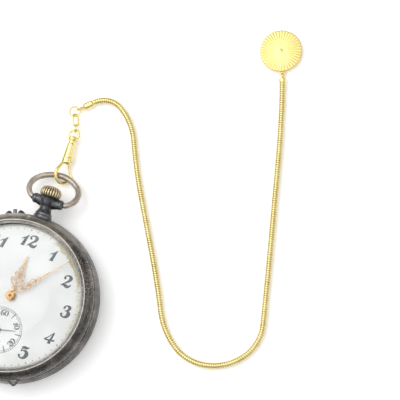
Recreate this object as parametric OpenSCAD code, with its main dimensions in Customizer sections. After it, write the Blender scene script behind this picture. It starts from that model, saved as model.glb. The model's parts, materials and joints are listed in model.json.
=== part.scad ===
// Open-face pocket watch with swivel clasp, snake chain and lapel disc.
// Millimetres. The watch lies on its back: dial faces +Z, pendant points to +Y,
// origin on the case axis at the resting plane.

/* [Hands] */
// clockwise angle of the hour hand from twelve, degrees
hour_turn = 4.5; // [0:0.5:359]
// clockwise angle of the minute hand from twelve, degrees
minute_turn = 43; // [0:1:359]
// clockwise angle of the seconds hand from sixty, degrees
seconds_turn = 77; // [0:1:359]

/* [Crown and bow] */
// number of flutes round the crown
crown_flutes = 20; // [16:1:24]
// radius of the bow's wire
bow_wire_r = 0.83; // [0.7:0.01:0.85]

/* [Chain] */
// radius of the snake chain
chain_r = 0.8; // [0.7:0.01:0.8]
// radius of the lapel disc
disc_r = 6.2; // [5.8:0.1:6.2]
// thickness of the lapel disc
disc_t = 1.0; // [0.8:0.1:1.2]

/* [Movement] */
// number of timing screws on the balance rim
timing_screws = 12; // [8:2:14]

/* [Hidden] */
$fn = 64;
// node to build
// case
case_r = 25;
stem_z = 6.4;
hinge_x = -25.45;
front_hz = 9.05;
back_hz = 3.25;
set_a = 109.4;
lip_a = -68.8;
// pendant and bow
piv_y = 29.7;
bow_len = 9.45;
bow_drop = 27.75;
// train: positions of the arbors
P_bar = [5.2, 6.2];
P_third = [2.89, -6.10];
P_fourth = [0, -10.3];
P_esc = [-4.766, -9.46];
P_pal = [-7.38, -7.99];
P_bal = [-11.8, -5.5];
P_crown = [0, 13.423];
P_lever = [-11.0, 15.6];
P_min = [2.88 * cos(55), 2.88 * sin(55)];
bal_cut = 7.0;
// screws: x, y
SCREWS = [[-15.2, 11.0], [12.5, 14.2], [17.6, 3.6], [16.2, -9.0], [5.0, -18.2], [-9.6, -16.6]];
JEWELS = [P_third, P_fourth, P_esc, P_bal];
// clasp
grip = [0.4, piv_y + bow_len * cos(bow_drop), stem_z - bow_len * sin(bow_drop)];
clasp_yaw = 4;
hook_R = 2.6;
hook_r = 0.5;
// chain path: length and turn of each arc
chain_z = 0.9;
SEG = [[8.94, -74.593], [10.93, -33.707], [17, 6.2], [8.5, 0], [8.5, 0], [17, -3.9], [11, 27.1], [11, 45.3], [11, 39.5], [12, 54.8], [24, 0.8], [24, 0], [22.2, 4]];
// first arc of each rigid segment
FIRST = [0, 2, 4, 6, 8, 10, 11, 12, 13];
N = len(SEG);
// position and heading at the start of segment i
function pose(i) = i == 0 ? [1.76, 62.42, 42] : let (p = pose(i - 1), s = SEG[i - 1], e = seg_end(s)) [p[0] + e[0] * cos(p[2]) - e[1] * sin(p[2]), p[1] + e[0] * sin(p[2]) + e[1] * cos(p[2]), p[2] + s[1]];
function seg_end(s) = abs(s[1]) < 0.01 ? [s[0], 0] : let (r = s[0] / (s[1] * PI / 180)) [r * sin(s[1]), r * (1 - cos(s[1]))];

// colours
steel = [0.30, 0.30, 0.31];
gilt = [0.80, 0.68, 0.42];
brassc = [0.76, 0.62, 0.34];
bright = [0.66, 0.67, 0.69];

// ---------- helpers ----------
module rod(r, z0, z1) translate([0, 0, z0]) cylinder(r = r, h = z1 - z0);
// cylinder along +Y from y0 to y1
module rod_y(r, y0, y1) translate([0, y0, 0]) rotate([-90, 0, 0]) cylinder(r = r, h = y1 - y0);
// cylinder along +X
module rod_x(r, x0, x1) translate([x0, 0, 0]) rotate([0, 90, 0]) cylinder(r = r, h = x1 - x0);
// toothed outline: n teeth of module m, first tooth centred at angle ph
module gear2(n, m, ph) {
  rt = m * (n / 2 + 0.9);
  rr = m * (n / 2 - 1.15);
  p = 360 / n;
  polygon([for (i = [0 : n - 1], q = [[-0.34, rr], [-0.11, rt], [0.11, rt], [0.34, rr]]) let (a = ph + (i + q[0]) * p) [q[1] * cos(a), q[1] * sin(a)]]);
}
// wheel with rim and spokes
module spoked(n, m, ph, ri, rh, k) {
  difference() { gear2(n, m, ph); circle(ri); }
  circle(rh);
  for (i = [0 : k - 1]) rotate(i * 360 / k + 20) translate([0, -0.28]) square([ri + 0.1, 0.56]);
}
// angle from a to b
function dir(a, b) = atan2(b[1] - a[1], b[0] - a[0]);
// phase that puts a gap of an n-tooth wheel at angle d
function gap(n, d) = d + 180 / n;
// ring lying flat
module ring(R, r) rotate_extrude() translate([R, 0]) circle(r, $fn = 24);
// arc of wire in the XY plane, from a0 sweeping s degrees
module arc(R, r, a0, s) rotate([0, 0, a0]) rotate_extrude(angle = s) translate([R, 0]) circle(r, $fn = 24);
// spiral strip
module spiral(r0, r1, turns, w, n) {
  m = turns * n;
  polygon(concat([for (i = [0 : m]) let (a = i * 360 / n, r = r0 + (r1 - r0) * i / m) [(r + w / 2) * cos(a), (r + w / 2) * sin(a)]], [for (i = [m : -1 : 0]) let (a = i * 360 / n, r = r0 + (r1 - r0) * i / m) [(r - w / 2) * cos(a), (r - w / 2) * sin(a)]]));
}
module at(p, z = 0) translate([p[0], p[1], z]) children();

// ---------- case ----------
module case_middle() color(steel) difference() {
  union() {
    rotate_extrude($fn = 128) polygon([[20.7, 3.28], [24.3, 3.28], [24.75, 4.0], [25, 5.2], [25, 7.2], [24.85, 8.3], [24.5, 9.0], [21.4, 9.0], [21.4, 8.72], [20.7, 8.72]]);
    // shoulders of the setting pin
    rotate([0, 0, set_a]) for (s = [-1, 1]) translate([24.2, s * 1.75, stem_z]) rod_x(0.95, 0, 1.75);
    // hinge knuckles, front and back
    for (s = [-1, 1]) {
      translate([hinge_x, s * 3.95, front_hz]) rod_y(0.5, -1.25, 1.25);
      translate([hinge_x, s * 3.95 - 1.25, front_hz - 0.5]) cube([1.8, 2.5, 0.44]);
      translate([hinge_x, s * 6.6, back_hz]) rod_y(0.5, -1.2, 1.2);
      translate([hinge_x, s * 6.6 - 1.2, back_hz + 0.1]) cube([3.0, 2.4, 0.4]);
    }
  }
  translate([0, 0, stem_z]) rod_y(1.3, 15, 27);
  rotate([0, 0, set_a]) translate([0, 0, stem_z]) rod_x(0.62, 18, 27);
  for (s = [-1, 1]) { translate([hinge_x, s * 3.95, front_hz]) rod_y(0.27, -2, 2); translate([hinge_x, s * 6.6, back_hz]) rod_y(0.27, -2, 2); }
  // relief for the cover knuckles
  translate([hinge_x - 1, -5.3, back_hz - 0.65]) cube([1.75, 10.6, 1.3]);
  translate([hinge_x - 1, -2.6, front_hz - 0.62]) cube([1.62, 5.2, 1.3]);
}
module pendant() color(steel) difference() {
  union() {
    translate([0, 0, stem_z]) rotate([-90, 0, 0]) rotate_extrude() polygon([[0, 25.02], [2.6, 25.02], [2.65, 25.5], [2.45, 25.8], [2.45, 26.2], [2.1, 26.5], [1.85, 27.1], [1.85, 28.2], [2.1, 29.0], [2.1, 31.0], [0, 31.0]]);
    translate([0, piv_y, stem_z]) rod_x(1.55, -3.35, 3.35);
    translate([0, 0, stem_z]) rod_y(1.28, 21.6, 25.1);
  }
  translate([0, 0, stem_z]) rod_y(0.6, 21, 32);
  for (s = [-1, 1]) translate([s * 2.8, piv_y, stem_z]) rod_x(0.42, -1.2, 1.2);
}
module bezel() color(steel) difference() {
  union() {
    rotate_extrude($fn = 128) polygon([[21.55, 9.05], [24.6, 9.05], [24.9, 9.35], [24.95, 9.9], [24.6, 10.7], [23.9, 11.5], [22.9, 12.15], [22.3, 12.35], [21.95, 12.25], [21.9, 12.1], [21.9, 11.55], [21.2, 11.55], [21.2, 10.9], [21.55, 10.6]]);
    translate([hinge_x, 0, front_hz]) rod_y(0.5, -2.55, 2.55);
    translate([hinge_x, -2.5, front_hz + 0.08]) cube([2.2, 5.0, 0.36]);
    // thumb lip
    rotate([0, 0, lip_a]) translate([0, 0, 9.2]) linear_extrude(0.6) polygon([[23.6, -2.1], [24.9, -1.9], [25.6, -1.6], [26.3, -0.9], [26.45, 0], [26.3, 0.9], [25.6, 1.6], [24.9, 1.9], [23.6, 2.1]]);
  }
  translate([hinge_x, 0, front_hz]) rod_y(0.27, -4, 4);
}
module crystal() color([0.85, 0.9, 0.92, 0.35]) rotate_extrude($fn = 128) polygon([[0, 12.75], [6, 12.68], [12, 12.48], [17, 12.15], [20.6, 11.75], [21.2, 11.57], [21.86, 11.57], [21.86, 12.05], [20.8, 12.42], [17, 12.9], [12, 13.24], [6, 13.44], [0, 13.5]]);
module back_cover() color(steel) difference() {
  union() {
    rotate_extrude($fn = 128) polygon([[0, 0], [8, 0], [14, 0.3], [19, 1.0], [22.5, 1.85], [24.2, 2.6], [24.7, 3.2], [23.6, 3.2], [23.3, 2.75], [22, 2.3], [18.8, 1.5], [13.9, 0.8], [8, 0.5], [0, 0.5]]);
    for (s = [-1, 1]) {
      translate([hinge_x, s * 3.95, back_hz]) rod_y(0.5, -1.25, 1.25);
      translate([hinge_x, s * 3.95 - 1.25, back_hz - 0.5]) cube([2.1, 2.5, 0.4]);
    }
  }
  for (s = [-1, 1]) translate([hinge_x, s * 3.95, back_hz]) rod_y(0.27, -2, 2);
  translate([hinge_x - 1, -2.65, back_hz - 0.75]) cube([4.5, 5.3, 1.5]);
}
module cuvette() color(gilt) difference() {
  union() {
    rotate_extrude($fn = 128) polygon([[0, 1.75], [14, 1.85], [20, 2.3], [22.4, 2.85], [22.4, 3.2], [19.9, 2.7], [14, 2.25], [0, 2.15]]);
    translate([hinge_x, 0, back_hz]) rod_y(0.5, -2.55, 2.55);
    translate([hinge_x, -2.55, back_hz - 0.5]) cube([3.9, 5.1, 0.4]);
  }
  translate([hinge_x, 0, back_hz]) rod_y(0.27, -4, 4);
}
module hinge_pins() color(bright) {
  translate([hinge_x, 0, front_hz]) rod_y(0.25, -5.2, 5.2);
  translate([hinge_x, 0, back_hz]) rod_y(0.25, -7.8, 7.8);
}
module bow_local() {
  al = 47.4;
  cx = 3.2;
  cy = 4.0;
  R1 = 8.93;
  cy1 = cy - cx * tan(al);
  difference() {
    union() {
      translate([0, cy1, 0]) arc(cx / cos(al) + 4.2, bow_wire_r, al, 180 - 2 * al);
      for (s = [0, 1]) mirror([s, 0, 0]) translate([cx, cy, 0]) arc(4.2, bow_wire_r, -68, 68 + al);
      for (s = [0, 1]) mirror([s, 0, 0]) translate([cx + 4.2 * cos(al), cy + 4.2 * sin(al), 0]) rotate([0, 0, al]) rod_y(bow_wire_r + 0.03, -0.2, 0.2);
      for (s = [-1, 1]) translate([s * 4.12, 0, 0]) rod_x(1.3, -0.62, 0.62);
    }
    for (s = [-1, 1]) translate([s * 4.12, 0, 0]) { rod_x(0.5, -3, 3); translate([s * 1.73, 0, 0]) rod_x(0.86, -1.5, 1.5); }
    translate([-3.45, -3, -3]) cube([6.9, 5, 6]);
  }
}
module bow() color([0.62, 0.57, 0.52]) translate([0, piv_y, stem_z]) rotate([-bow_drop, 0, 0]) bow_local();
module bow_screws() color(steel) for (s = [0, 1]) mirror([s, 0, 0]) translate([0, piv_y, stem_z]) difference() {
  union() { rod_x(0.4, 1.9, 4.5); rod_x(0.8, 4.42, 4.82); }
  translate([4.67, -1, -0.1]) cube([0.4, 2, 0.2]);
}
module crown() color([0.68, 0.56, 0.34]) translate([0, 0, stem_z]) rotate([-90, 0, 0]) difference() {
  rotate_extrude() polygon([[0, 31.35], [2.2, 31.35], [2.7, 31.6], [2.9, 32.15], [2.9, 33.0], [2.6, 33.7], [1.9, 34.25], [1.1, 34.45], [0, 34.5]]);
  for (i = [0 : crown_flutes - 1]) rotate([0, 0, i * 360 / crown_flutes]) translate([2.96, 0, 30]) cylinder(r = 0.28, h = 6, $fn = 24);
  translate([0, 0, 31.0]) cylinder(r = 0.56, h = 2.25);
}

// ---------- keyless work ----------
module winding_stem() color(bright) translate([0, 0, stem_z]) {
  rod_y(0.55, 16.9, 33.15);
  translate([-0.42, 12.8, -0.42]) cube([0.84, 4.2, 0.84]);
}
module winding_pinion() color(bright) translate([0, 18.0, stem_z]) rotate([90, 0, 0]) difference() {
  linear_extrude(1.0) gear2(24, 0.2, -90 - asin(3.7 * sin(dir(P_crown, P_bar) + 15 * 360 / 37 - 90) / 2.4));
  translate([0, 0, -1]) cylinder(r = 0.56, h = 4);
}
module sliding_pinion() color(bright) translate([0, 16.0, stem_z]) rotate([90, 0, 0]) difference() {
  union() { cylinder(r = 1.0, h = 1.6); linear_extrude(0.5) gear2(14, 0.19, 0); translate([0, 0, 1.1]) cylinder(r = 1.35, h = 0.5); }
  translate([-0.45, -0.45, -1]) cube([0.9, 0.9, 4]);
}
module setting_pin() color(bright) rotate([0, 0, set_a]) translate([0, 0, stem_z]) rod_x(0.55, 17.0, 26.1);
module setting_lever() color(bright) translate([P_lever[0], P_lever[1], stem_z - 0.35]) difference() {
  linear_extrude(0.7) { circle(1.0); rotate(-2.3) polygon([[0, -0.5], [5.5, -0.34], [9.8, -0.2], [9.8, 0.2], [5.5, 0.34], [0, 0.5]]); }
  translate([0, 0, -1]) cylinder(r = 0.36, h = 4);
}

// ---------- movement ----------
module main_plate() color(brassc) difference() {
  union() {
    rod(20.4, 7.6, 9.3);
    rod(21.2, 8.75, 9.3);
    at(P_lever, 5.9) cylinder(r = 0.33, h = 1.8);
    at(P_lever, 6.8) cylinder(r = 1.0, h = 0.9);
  }
  // recess for the motion work
  at([0.6, 0.9], 8.55) cylinder(r = 5.6, h = 2);
  for (p = [P_third, P_esc, P_pal, P_bal]) at(p, 7) cylinder(r = 0.17, h = 1.6);
  at(P_fourth, 7) cylinder(r = 0.2, h = 3);
  at([0, 0], 7) cylinder(r = 0.42, h = 3);
  at(P_bar, 7) cylinder(r = 0.52, h = 1.5);
  at(P_min, 8.2) cylinder(r = 0.2, h = 1);
  for (p = SCREWS) at(p, 7) cylinder(r = 0.42, h = 1.6);
  for (a = [62, 242]) rotate([0, 0, a]) translate([18.4, 0, 8]) cylinder(r = 0.43, h = 2);
  // room for the winding and sliding pinions
  translate([-2.8, 16.8, 7]) cube([5.6, 1.4, 2.1]);
  translate([0, 0, stem_z]) rod_y(1.65, 12.4, 18);
}
module sector(a0, a1, r) polygon(concat([[0, 0]], [for (i = [0 : 12]) let (a = a0 + (a1 - a0) * i / 12) [r * cos(a), r * sin(a)]]));
module foot(a0, a1) translate([0, 0, 5.15]) linear_extrude(2.44) intersection() { difference() { circle(20.3); circle(17.2); } sector(a0, a1, 30); }
module screw_seats() for (p = SCREWS) { at(p, 3.5) cylinder(r = 0.44, h = 5); at(p, 3.5) cylinder(r = 0.86, h = 1.0); }
module jewel_seats(ps) for (p = ps) at(p, 3.9) { cylinder(r = 0.62, h = 0.42); cylinder(r = 0.17, h = 2); }
module barrel_bridge() color(brassc) difference() {
  union() {
    translate([0, 0, 4.0]) linear_extrude(1.2) difference() {
      intersection() { circle(20.3); translate([-25, -2.1]) square([50, 30]); }
      translate(P_bal) circle(bal_cut);
    }
    foot(-4, 66);
    foot(134, 165);
  }
  screw_seats();
  at(P_bar, 3) cylinder(r = 0.52, h = 3);
  at([0, 0], 3) cylinder(r = 0.34, h = 3);
  // slot for the winding pinion, window for the setting work
  translate([-2.8, 16.6, 3]) cube([5.6, 1.7, 3]);
  translate([0, 0, stem_z]) rod_y(1.65, 12.4, 21);
  at(P_crown, 3) cylinder(r = 0.42, h = 3);
  at([-4.2, 9.0], 3.9) cylinder(r = 0.32, h = 2);
}
module train_bridge() color(brassc) difference() {
  union() {
    translate([0, 0, 4.0]) linear_extrude(1.2) difference() {
      intersection() { circle(20.3); translate([-6.0, -25]) square([30, 22.7]); }
      translate(P_bal) circle(bal_cut);
    }
    foot(-80, -18);
  }
  screw_seats();
  jewel_seats([P_third, P_fourth, P_esc]);
}
module balance_cock() color(brassc) difference() {
  union() {
    translate([0, 0, 4.0]) linear_extrude(1.2) {
      translate(P_bal) circle(2.1);
      translate([-9.9, -15.6]) rotate(101) translate([0, -1.6]) square([10.4, 3.2]);
    }
    translate([0, 0, 4.0]) linear_extrude(3.59) intersection() { circle(20.3); translate([-12.2, -19]) square([5.6, 5.6]); }
  }
  screw_seats();
  jewel_seats([P_bal]);
  at(P_bal, 4.9) cylinder(r = 1.25, h = 1);
}
module pallet_bridge() color(brassc) difference() {
  union() {
    translate([0, 0, 6.6]) linear_extrude(0.3) { translate(P_pal) circle(0.8); translate(P_pal) rotate(dir(P_pal, [-5.2, -6.0])) translate([0, -0.55]) square([3.0, 1.1]); translate([-5.2, -6.0]) circle(0.75); }
    at([-5.2, -6.0], 6.7) cylinder(r = 0.75, h = 0.89);
  }
  at(P_pal, 6) cylinder(r = 0.17, h = 2);
}
module screw(r, h, s, l) difference() {
  union() { cylinder(r = r, h = h); cylinder(r = s, h = l); }
  translate([-2, -0.11, -0.1]) cube([4, 0.22, 0.3]);
}
module bridge_screws() color([0.25, 0.30, 0.50]) {
  for (p = SCREWS) at(p, 3.85) screw(0.8, 0.6, 0.39, 4.5);
}
module jewels() color([0.75, 0.12, 0.25]) for (p = JEWELS) at(p, 3.98) difference() {
  cylinder(r = 0.6, h = 0.32);
  translate([0, 0, -1]) cylinder(r = 0.15, h = 3);
}

// ---------- going train ----------
module barrel() color(brassc) at(P_bar) difference() {
  union() {
    rod(6.7, 5.4, 7.0);
    translate([0, 0, 6.5]) linear_extrude(0.35) gear2(78, 0.18, dir(P_bar, [0, 0]));
  }
  rod(6.4, 5.65, 6.75);
  rod(0.55, 5, 8);
}
module barrel_arbor() color(bright) at(P_bar) { rod(0.5, 4.05, 8.3); rod(1.2, 5.7, 6.7); translate([-0.35, -0.35, 3.3]) cube([0.7, 0.7, 0.85]); }
module mainspring() color([0.35, 0.38, 0.45]) at(P_bar, 5.75) linear_extrude(0.9) spiral(1.5, 6.2, 8, 0.16, 24);
module ratchet_wheel() color(bright) at(P_bar) difference() {
  translate([0, 0, 3.38]) linear_extrude(0.5) gear2(52, 0.2, dir(P_bar, P_crown));
  translate([-0.36, -0.36, 3]) cube([0.72, 0.72, 2]);
}
module crown_wheel() color(bright) at(P_crown) {
  translate([0, 0, 3.38]) linear_extrude(0.5) gear2(37, 0.2, gap(37, dir(P_crown, P_bar)));
  rod(0.4, 3.4, 4.7);
  difference() { rod(0.9, 3.1, 3.4); translate([-2, -0.12, 3.0]) cube([4, 0.24, 0.2]); }
}
module click() color(bright) at([-4.2, 9.0]) {
  translate([0, 0, 3.4]) linear_extrude(0.45) difference() {
    union() { circle(0.85); rotate(-18) polygon([[0, -0.8], [3.8, -0.5], [4.35, 0.0], [3.4, 0.25], [0, 0.8]]); rotate(150) polygon([[0.3, -0.3], [4.4, -0.12], [4.4, 0.12], [0.3, 0.3]]); }
  }
  rod(0.3, 3.3, 5.0);
}
module centre_wheel() color(gilt) {
  translate([0, 0, 7.2]) linear_extrude(0.2) spoked(80, 0.15, dir([0, 0], P_third), 5.0, 1.2, 4);
  translate([0, 0, 6.35]) linear_extrude(0.7) gear2(12, 0.18, gap(12, dir([0, 0], P_bar)));
  rod(0.7, 6.9, 7.3);
  rod(0.30, 4.3, 11.5);
}
module third_wheel() color(gilt) at(P_third) {
  translate([0, 0, 5.95]) linear_extrude(0.2) spoked(75, 0.12, dir(P_third, P_fourth), 3.8, 0.7, 4);
  translate([0, 0, 6.95]) linear_extrude(0.5) gear2(10, 0.15, gap(10, dir(P_third, [0, 0])));
  rod(0.3, 5.5, 7.55);
  rod(0.13, 4.05, 8.4);
}
module fourth_wheel() color(gilt) at(P_fourth) {
  translate([0, 0, 6.6]) linear_extrude(0.2) spoked(80, 0.11, dir(P_fourth, P_esc), 3.7, 0.7, 4);
  translate([0, 0, 5.8]) linear_extrude(0.6) gear2(10, 0.12, gap(10, dir(P_fourth, P_third)));
  rod(0.3, 5.5, 7.5);
  rod(0.13, 4.05, 10.5);
}
module escape_wheel() color(bright) at(P_esc) {
  translate([0, 0, 7.1]) linear_extrude(0.2) {
    difference() { circle(1.65); circle(1.25); }
    circle(0.55);
    for (i = [0 : 2]) rotate(i * 120) translate([0, -0.15]) square([1.4, 0.3]);
    for (i = [0 : 14]) rotate(i * 24) polygon([[1.55, -0.22], [2.3, 0.14], [2.3, 0.26], [1.55, 0.16]]);
  }
  translate([0, 0, 6.4]) linear_extrude(0.6) gear2(8, 0.11, gap(8, dir(P_esc, P_fourth)));
  rod(0.2, 5.5, 7.5);
  rod(0.13, 4.05, 8.4);
}
module pallet_fork() color(bright) at(P_pal) rotate([0, 0, dir(P_pal, P_bal)]) {
  translate([0, 0, 7.1]) linear_extrude(0.22) {
    circle(0.5);
    polygon([[0, -0.3], [3.5, -0.14], [3.5, 0.14], [0, 0.3]]);
    for (s = [-1, 1]) polygon([[3.3, 0], [3.5, s * 0.3], [4.1, s * 0.42], [4.1, s * 0.24], [3.6, s * 0.12]]);
    for (s = [-1, 1]) polygon([[0.35, s * 0.1], [-0.55, s * 1.6], [-0.8, s * 1.5], [-0.2, s * 0.1]]);
  }
  rod(0.2, 6.95, 7.5);
  rod(0.13, 6.65, 8.4);
}
module balance_wheel() color(gilt) at(P_bal) {
  translate([0, 0, 5.9]) linear_extrude(0.6) {
    difference() { circle(6.2); circle(5.6); }
    circle(1.0);
    for (a = [35, 215]) rotate(a) translate([0, -0.35]) square([5.8, 0.7]);
  }
  for (i = [0 : timing_screws - 1]) rotate([0, 0, i * 360 / timing_screws + 10]) translate([0, 0, 6.2]) { rod_x(0.26, 6.1, 6.5); }
  rod(0.35, 5.3, 7.5);
  rod(0.13, 4.1, 8.4);
  // roller with its jewel pin
  rod(0.7, 6.93, 7.03);
  rotate([0, 0, dir(P_bal, P_pal)]) translate([0.58, 0, 0]) rod(0.09, 6.9, 7.3);
}
module hairspring() color([0.22, 0.28, 0.48]) at(P_bal, 5.42) linear_extrude(0.25) { spiral(0.7, 3.4, 9, 0.09, 24); difference() { circle(0.74); circle(0.37); } }
module regulator() color(bright) at(P_bal) translate([0, 0, 3.55]) linear_extrude(0.4) difference() {
  union() { circle(1.5); rotate(60) polygon([[0, -0.5], [4.6, -0.12], [4.6, 0.12], [0, 0.5]]); }
  circle(0.68);
}

// ---------- motion work, dial and hands ----------
module cannon_pinion() color(bright) difference() {
  union() { translate([0, 0, 8.6]) linear_extrude(0.3) gear2(12, 0.12, 55); rod(0.55, 8.85, 11.62); }
  rod(0.33, 8, 12);
}
module minute_wheel() color(gilt) at(P_min) {
  translate([0, 0, 8.62]) linear_extrude(0.18) gear2(36, 0.12, gap(36, 235));
  translate([0, 0, 8.7]) linear_extrude(0.5) gear2(10, 0.1152, 235);
  rod(0.18, 8.25, 9.3);
}
module hour_wheel() color(gilt) difference() {
  union() { translate([0, 0, 8.95]) linear_extrude(0.2) gear2(40, 0.1152, gap(40, 55)); rod(0.95, 9.0, 10.95); }
  rod(0.6, 8, 12);
}
module dial() color([0.93, 0.92, 0.88]) difference() {
  union() {
    rotate_extrude($fn = 128) polygon([[0, 9.35], [21.1, 9.35], [21.1, 9.7], [20.4, 9.85], [12, 10.02], [0, 10.1]]);
    for (a = [62, 242]) rotate([0, 0, a]) translate([18.4, 0, 8.2]) cylinder(r = 0.4, h = 1.3);
  }
  rod(1.15, 9, 11);
  at(P_fourth, 9) cylinder(r = 0.3, h = 3);
  at(P_fourth, 9.8) cylinder(r = 6.95, h = 3);
}
module hour_shape() {
  difference() { circle(1.55); circle(0.98); }
  translate([1.3, -0.2]) square([2.6, 0.4]);
  for (s = [-1, 1]) { translate([4.2, s * 0.85]) difference() { circle(0.85); circle(0.5); } translate([5.7, s * 1.1]) difference() { circle(1.0); circle(0.62); } translate([7.3, s * 0.8]) difference() { circle(0.8); circle(0.45); } }
  translate([3.6, -0.16]) square([5.2, 0.32]);
  translate([8.6, 0]) difference() { circle(0.75); circle(0.4); }
  polygon([[9.2, -0.3], [10.0, -0.42], [12.5, 0], [10.0, 0.42], [9.2, 0.3]]);
}
module minute_shape() {
  difference() { circle(1.2); circle(0.58); }
  translate([1.0, -0.2]) square([3.6, 0.4]);
  for (s = [-1, 1]) { translate([4.9, s * 0.6]) difference() { circle(0.62); circle(0.34); } translate([6.2, s * 0.9]) difference() { circle(0.85); circle(0.5); } translate([7.8, s * 0.8]) difference() { circle(0.8); circle(0.46); } translate([9.2, s * 0.55]) difference() { circle(0.6); circle(0.32); } }
  translate([4.3, -0.15]) square([6.4, 0.3]);
  translate([10.4, 0]) difference() { circle(0.62); circle(0.32); }
  polygon([[10.9, -0.28], [12.4, -0.42], [20.4, -0.06], [20.4, 0.06], [12.4, 0.42], [10.9, 0.28]]);
}
module hour_hand() color(gilt) rotate([0, 0, 90 - hour_turn]) translate([0, 0, 10.72]) linear_extrude(0.18) hour_shape();
module minute_hand() color(gilt) rotate([0, 0, 90 - minute_turn]) translate([0, 0, 11.38]) linear_extrude(0.18) minute_shape();
module seconds_hand() color([0.28, 0.28, 0.32]) at(P_fourth) rotate([0, 0, 90 - seconds_turn]) translate([0, 0, 10.32]) linear_extrude(0.12) difference() {
  union() { circle(0.55); polygon([[-2.2, -0.22], [-1.9, -0.1], [0, -0.12], [4.9, -0.05], [4.9, 0.05], [0, 0.12], [-1.9, 0.1], [-2.2, 0.22]]); }
  circle(0.15);
}

// ---------- clasp ----------
// clasp frame: Y towards the eye, rolled 45 degrees so that the bow wire passes through the hook
module clasp_frame() translate(grip) rotate([0, 0, clasp_yaw]) rotate([0, 45, 0]) children();
pin_uv = [0.75, 5.0];
module clasp_body() color(gilt) clasp_frame() difference() {
  union() {
    translate([0, 1.02, 0]) arc(hook_R, hook_r, 150, 222);
    translate([-hook_R * cos(30), 1.02 + hook_R * sin(30), 0]) rotate([0, 0, -30]) { rod_y(hook_r, 0.02, 3.1); rod_y(hook_r + 0.05, -0.25, 0.25); }
    rotate([-90, 0, 0]) rotate_extrude() polygon([[0, 4.2], [1.2, 4.2], [1.6, 4.6], [1.62, 5.9], [1.45, 6.1], [1.5, 6.35], [1.2, 10.3], [1.05, 10.6], [1.05, 11.3], [0, 11.3]]);
  }
  rotate([-90, 0, 0]) { translate([0, 0, 9.3]) cylinder(r = 0.55, h = 3); translate([0, 0, 8.4]) cylinder(r = 0.8, h = 0.95); }
  translate([-0.15, 4.0, -0.4]) cube([2.2, 2.0, 0.8]);
  translate([pin_uv[0], pin_uv[1], -2]) cylinder(r = 0.24, h = 4);
}
module clasp_gate() color(gilt) clasp_frame() {
  translate([pin_uv[0], pin_uv[1], 0]) {
    translate([0, 0, -0.34]) cylinder(r = 0.62, h = 0.68);
    translate([0, 0, -1.15]) cylinder(r = 0.21, h = 2.3);
    rotate([0, 0, -156.7]) rod_y(0.36, 0.3, 3.55);
  }
}
module swivel_eye() color(gilt) clasp_frame() {
  rod_y(0.5, 9.0, 11.6);
  rod_y(0.74, 8.5, 9.2);
  // barrel-shaped collar that carries the ring
  rotate([-90, 0, 0]) rotate_extrude() polygon([[0, 11.4], [1.15, 11.4], [1.35, 11.55], [1.42, 11.9], [1.42, 12.2], [1.35, 12.5], [1.15, 12.65], [0, 12.65]]);
  translate([0, eye_v, 0]) rotate([0, -45, 0]) ring(1.5, 0.35);
}
// the three loose links between the clasp and the chain cap
function heading(a) = [cos(a), sin(a), 0];
eye_v = 13.2;
Leye = grip + [-eye_v * sin(clasp_yaw), eye_v * cos(clasp_yaw), 0];
L1 = [Leye[0], Leye[1], 1.9] + 1.5 * heading(97) + 0.57 * heading(100);
L2 = [L1[0], L1[1], 1.75] + 2.47 * heading(109);
L3 = [L2[0], L2[1], 1.51] + 2.73 * heading(117);
module link_small() color(gilt) translate(L1) rotate([0, 0, 100]) rotate([110, 0, 0]) ring(1.2, 0.24);
module link_oval() color(gilt) translate(L2) rotate([0, 5, 112]) rotate([55, 0, 0]) {
  translate([0.85, 0, 0]) arc(1.0, 0.25, -90, 180);
  translate([-0.85, 0, 0]) arc(1.0, 0.25, 90, 180);
  for (s = [-1, 1]) translate([0, s * 1.0, 0]) rotate([0, 90, 0]) cylinder(r = 0.25, h = 1.7, center = true, $fn = 24);
}
module jump_ring() color(gilt) translate(L3) rotate([0, 5, 117]) rotate([8, 0, 0]) ring(1.5, 0.25);

// ---------- chain ----------
module on_path(i) { p = pose(i); translate([p[0], p[1], chain_z]) rotate([0, 0, p[2]]) children(); }
// wire following segment s from distance a to distance b
module along(s, a, b, r) {
  if (abs(s[1]) < 0.01) rod_x(r, a, b);
  else let (R = s[0] / (s[1] * PI / 180), k = s[1] / s[0])
    translate([0, R, 0]) rotate([0, 0, s[1] > 0 ? -90 + k * a : 90 + k * b]) rotate_extrude(angle = abs(k) * (b - a)) translate([abs(R), 0]) circle(r);
}
module ball_end() { cylinder(r = 0.42, h = 0.84, center = true); rod_x(0.17, 0.2, 0.8); }
module socket_cut() cylinder(r = 0.47, h = 0.96, center = true);
module seg(k) color(gilt) difference() {
  a = FIRST[k];
  b = FIRST[k + 1];
  union() {
    for (i = [a : b - 1]) on_path(i) along(SEG[i], i == a ? 0.65 : 0, SEG[i][0] + (i == b - 1 ? 0.25 : 0), chain_r);
    // a thin collar where two arcs meet
    if (b > a + 1) on_path(a + 1) rod_x(chain_r + 0.04, -0.2, 0.2);
    on_path(a) ball_end();
  }
  on_path(b) socket_cut();
}
module chain_cap_a() color(gilt) on_path(0) difference() {
  union() {
    rotate([0, 90, 0]) rotate_extrude() polygon([[0, -3.6], [0.6, -3.6], [0.95, -3.3], [1.1, -2.9], [1.1, -0.75], [0.95, -0.45], [0.8, -0.3], [0.8, 0.25], [0, 0.25]]);
    translate([-4.55, 0, 0.25]) rotate([90, 0, 0]) ring(0.88, 0.25);
    rod_x(0.4, -3.95, -3.5);
  }
  socket_cut();
}
module chain_cap_b() color(gilt) on_path(N) {
  rotate([0, 90, 0]) rotate_extrude() polygon([[0, 0.65], [0.8, 0.65], [1.0, 0.8], [1.1, 1.1], [1.1, 1.9], [0.8, 2.2], [0, 2.2]]);
  ball_end();
  translate([2.9, 0, 0]) rotate([90, 0, 0]) ring(0.6, 0.24);
}
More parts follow.
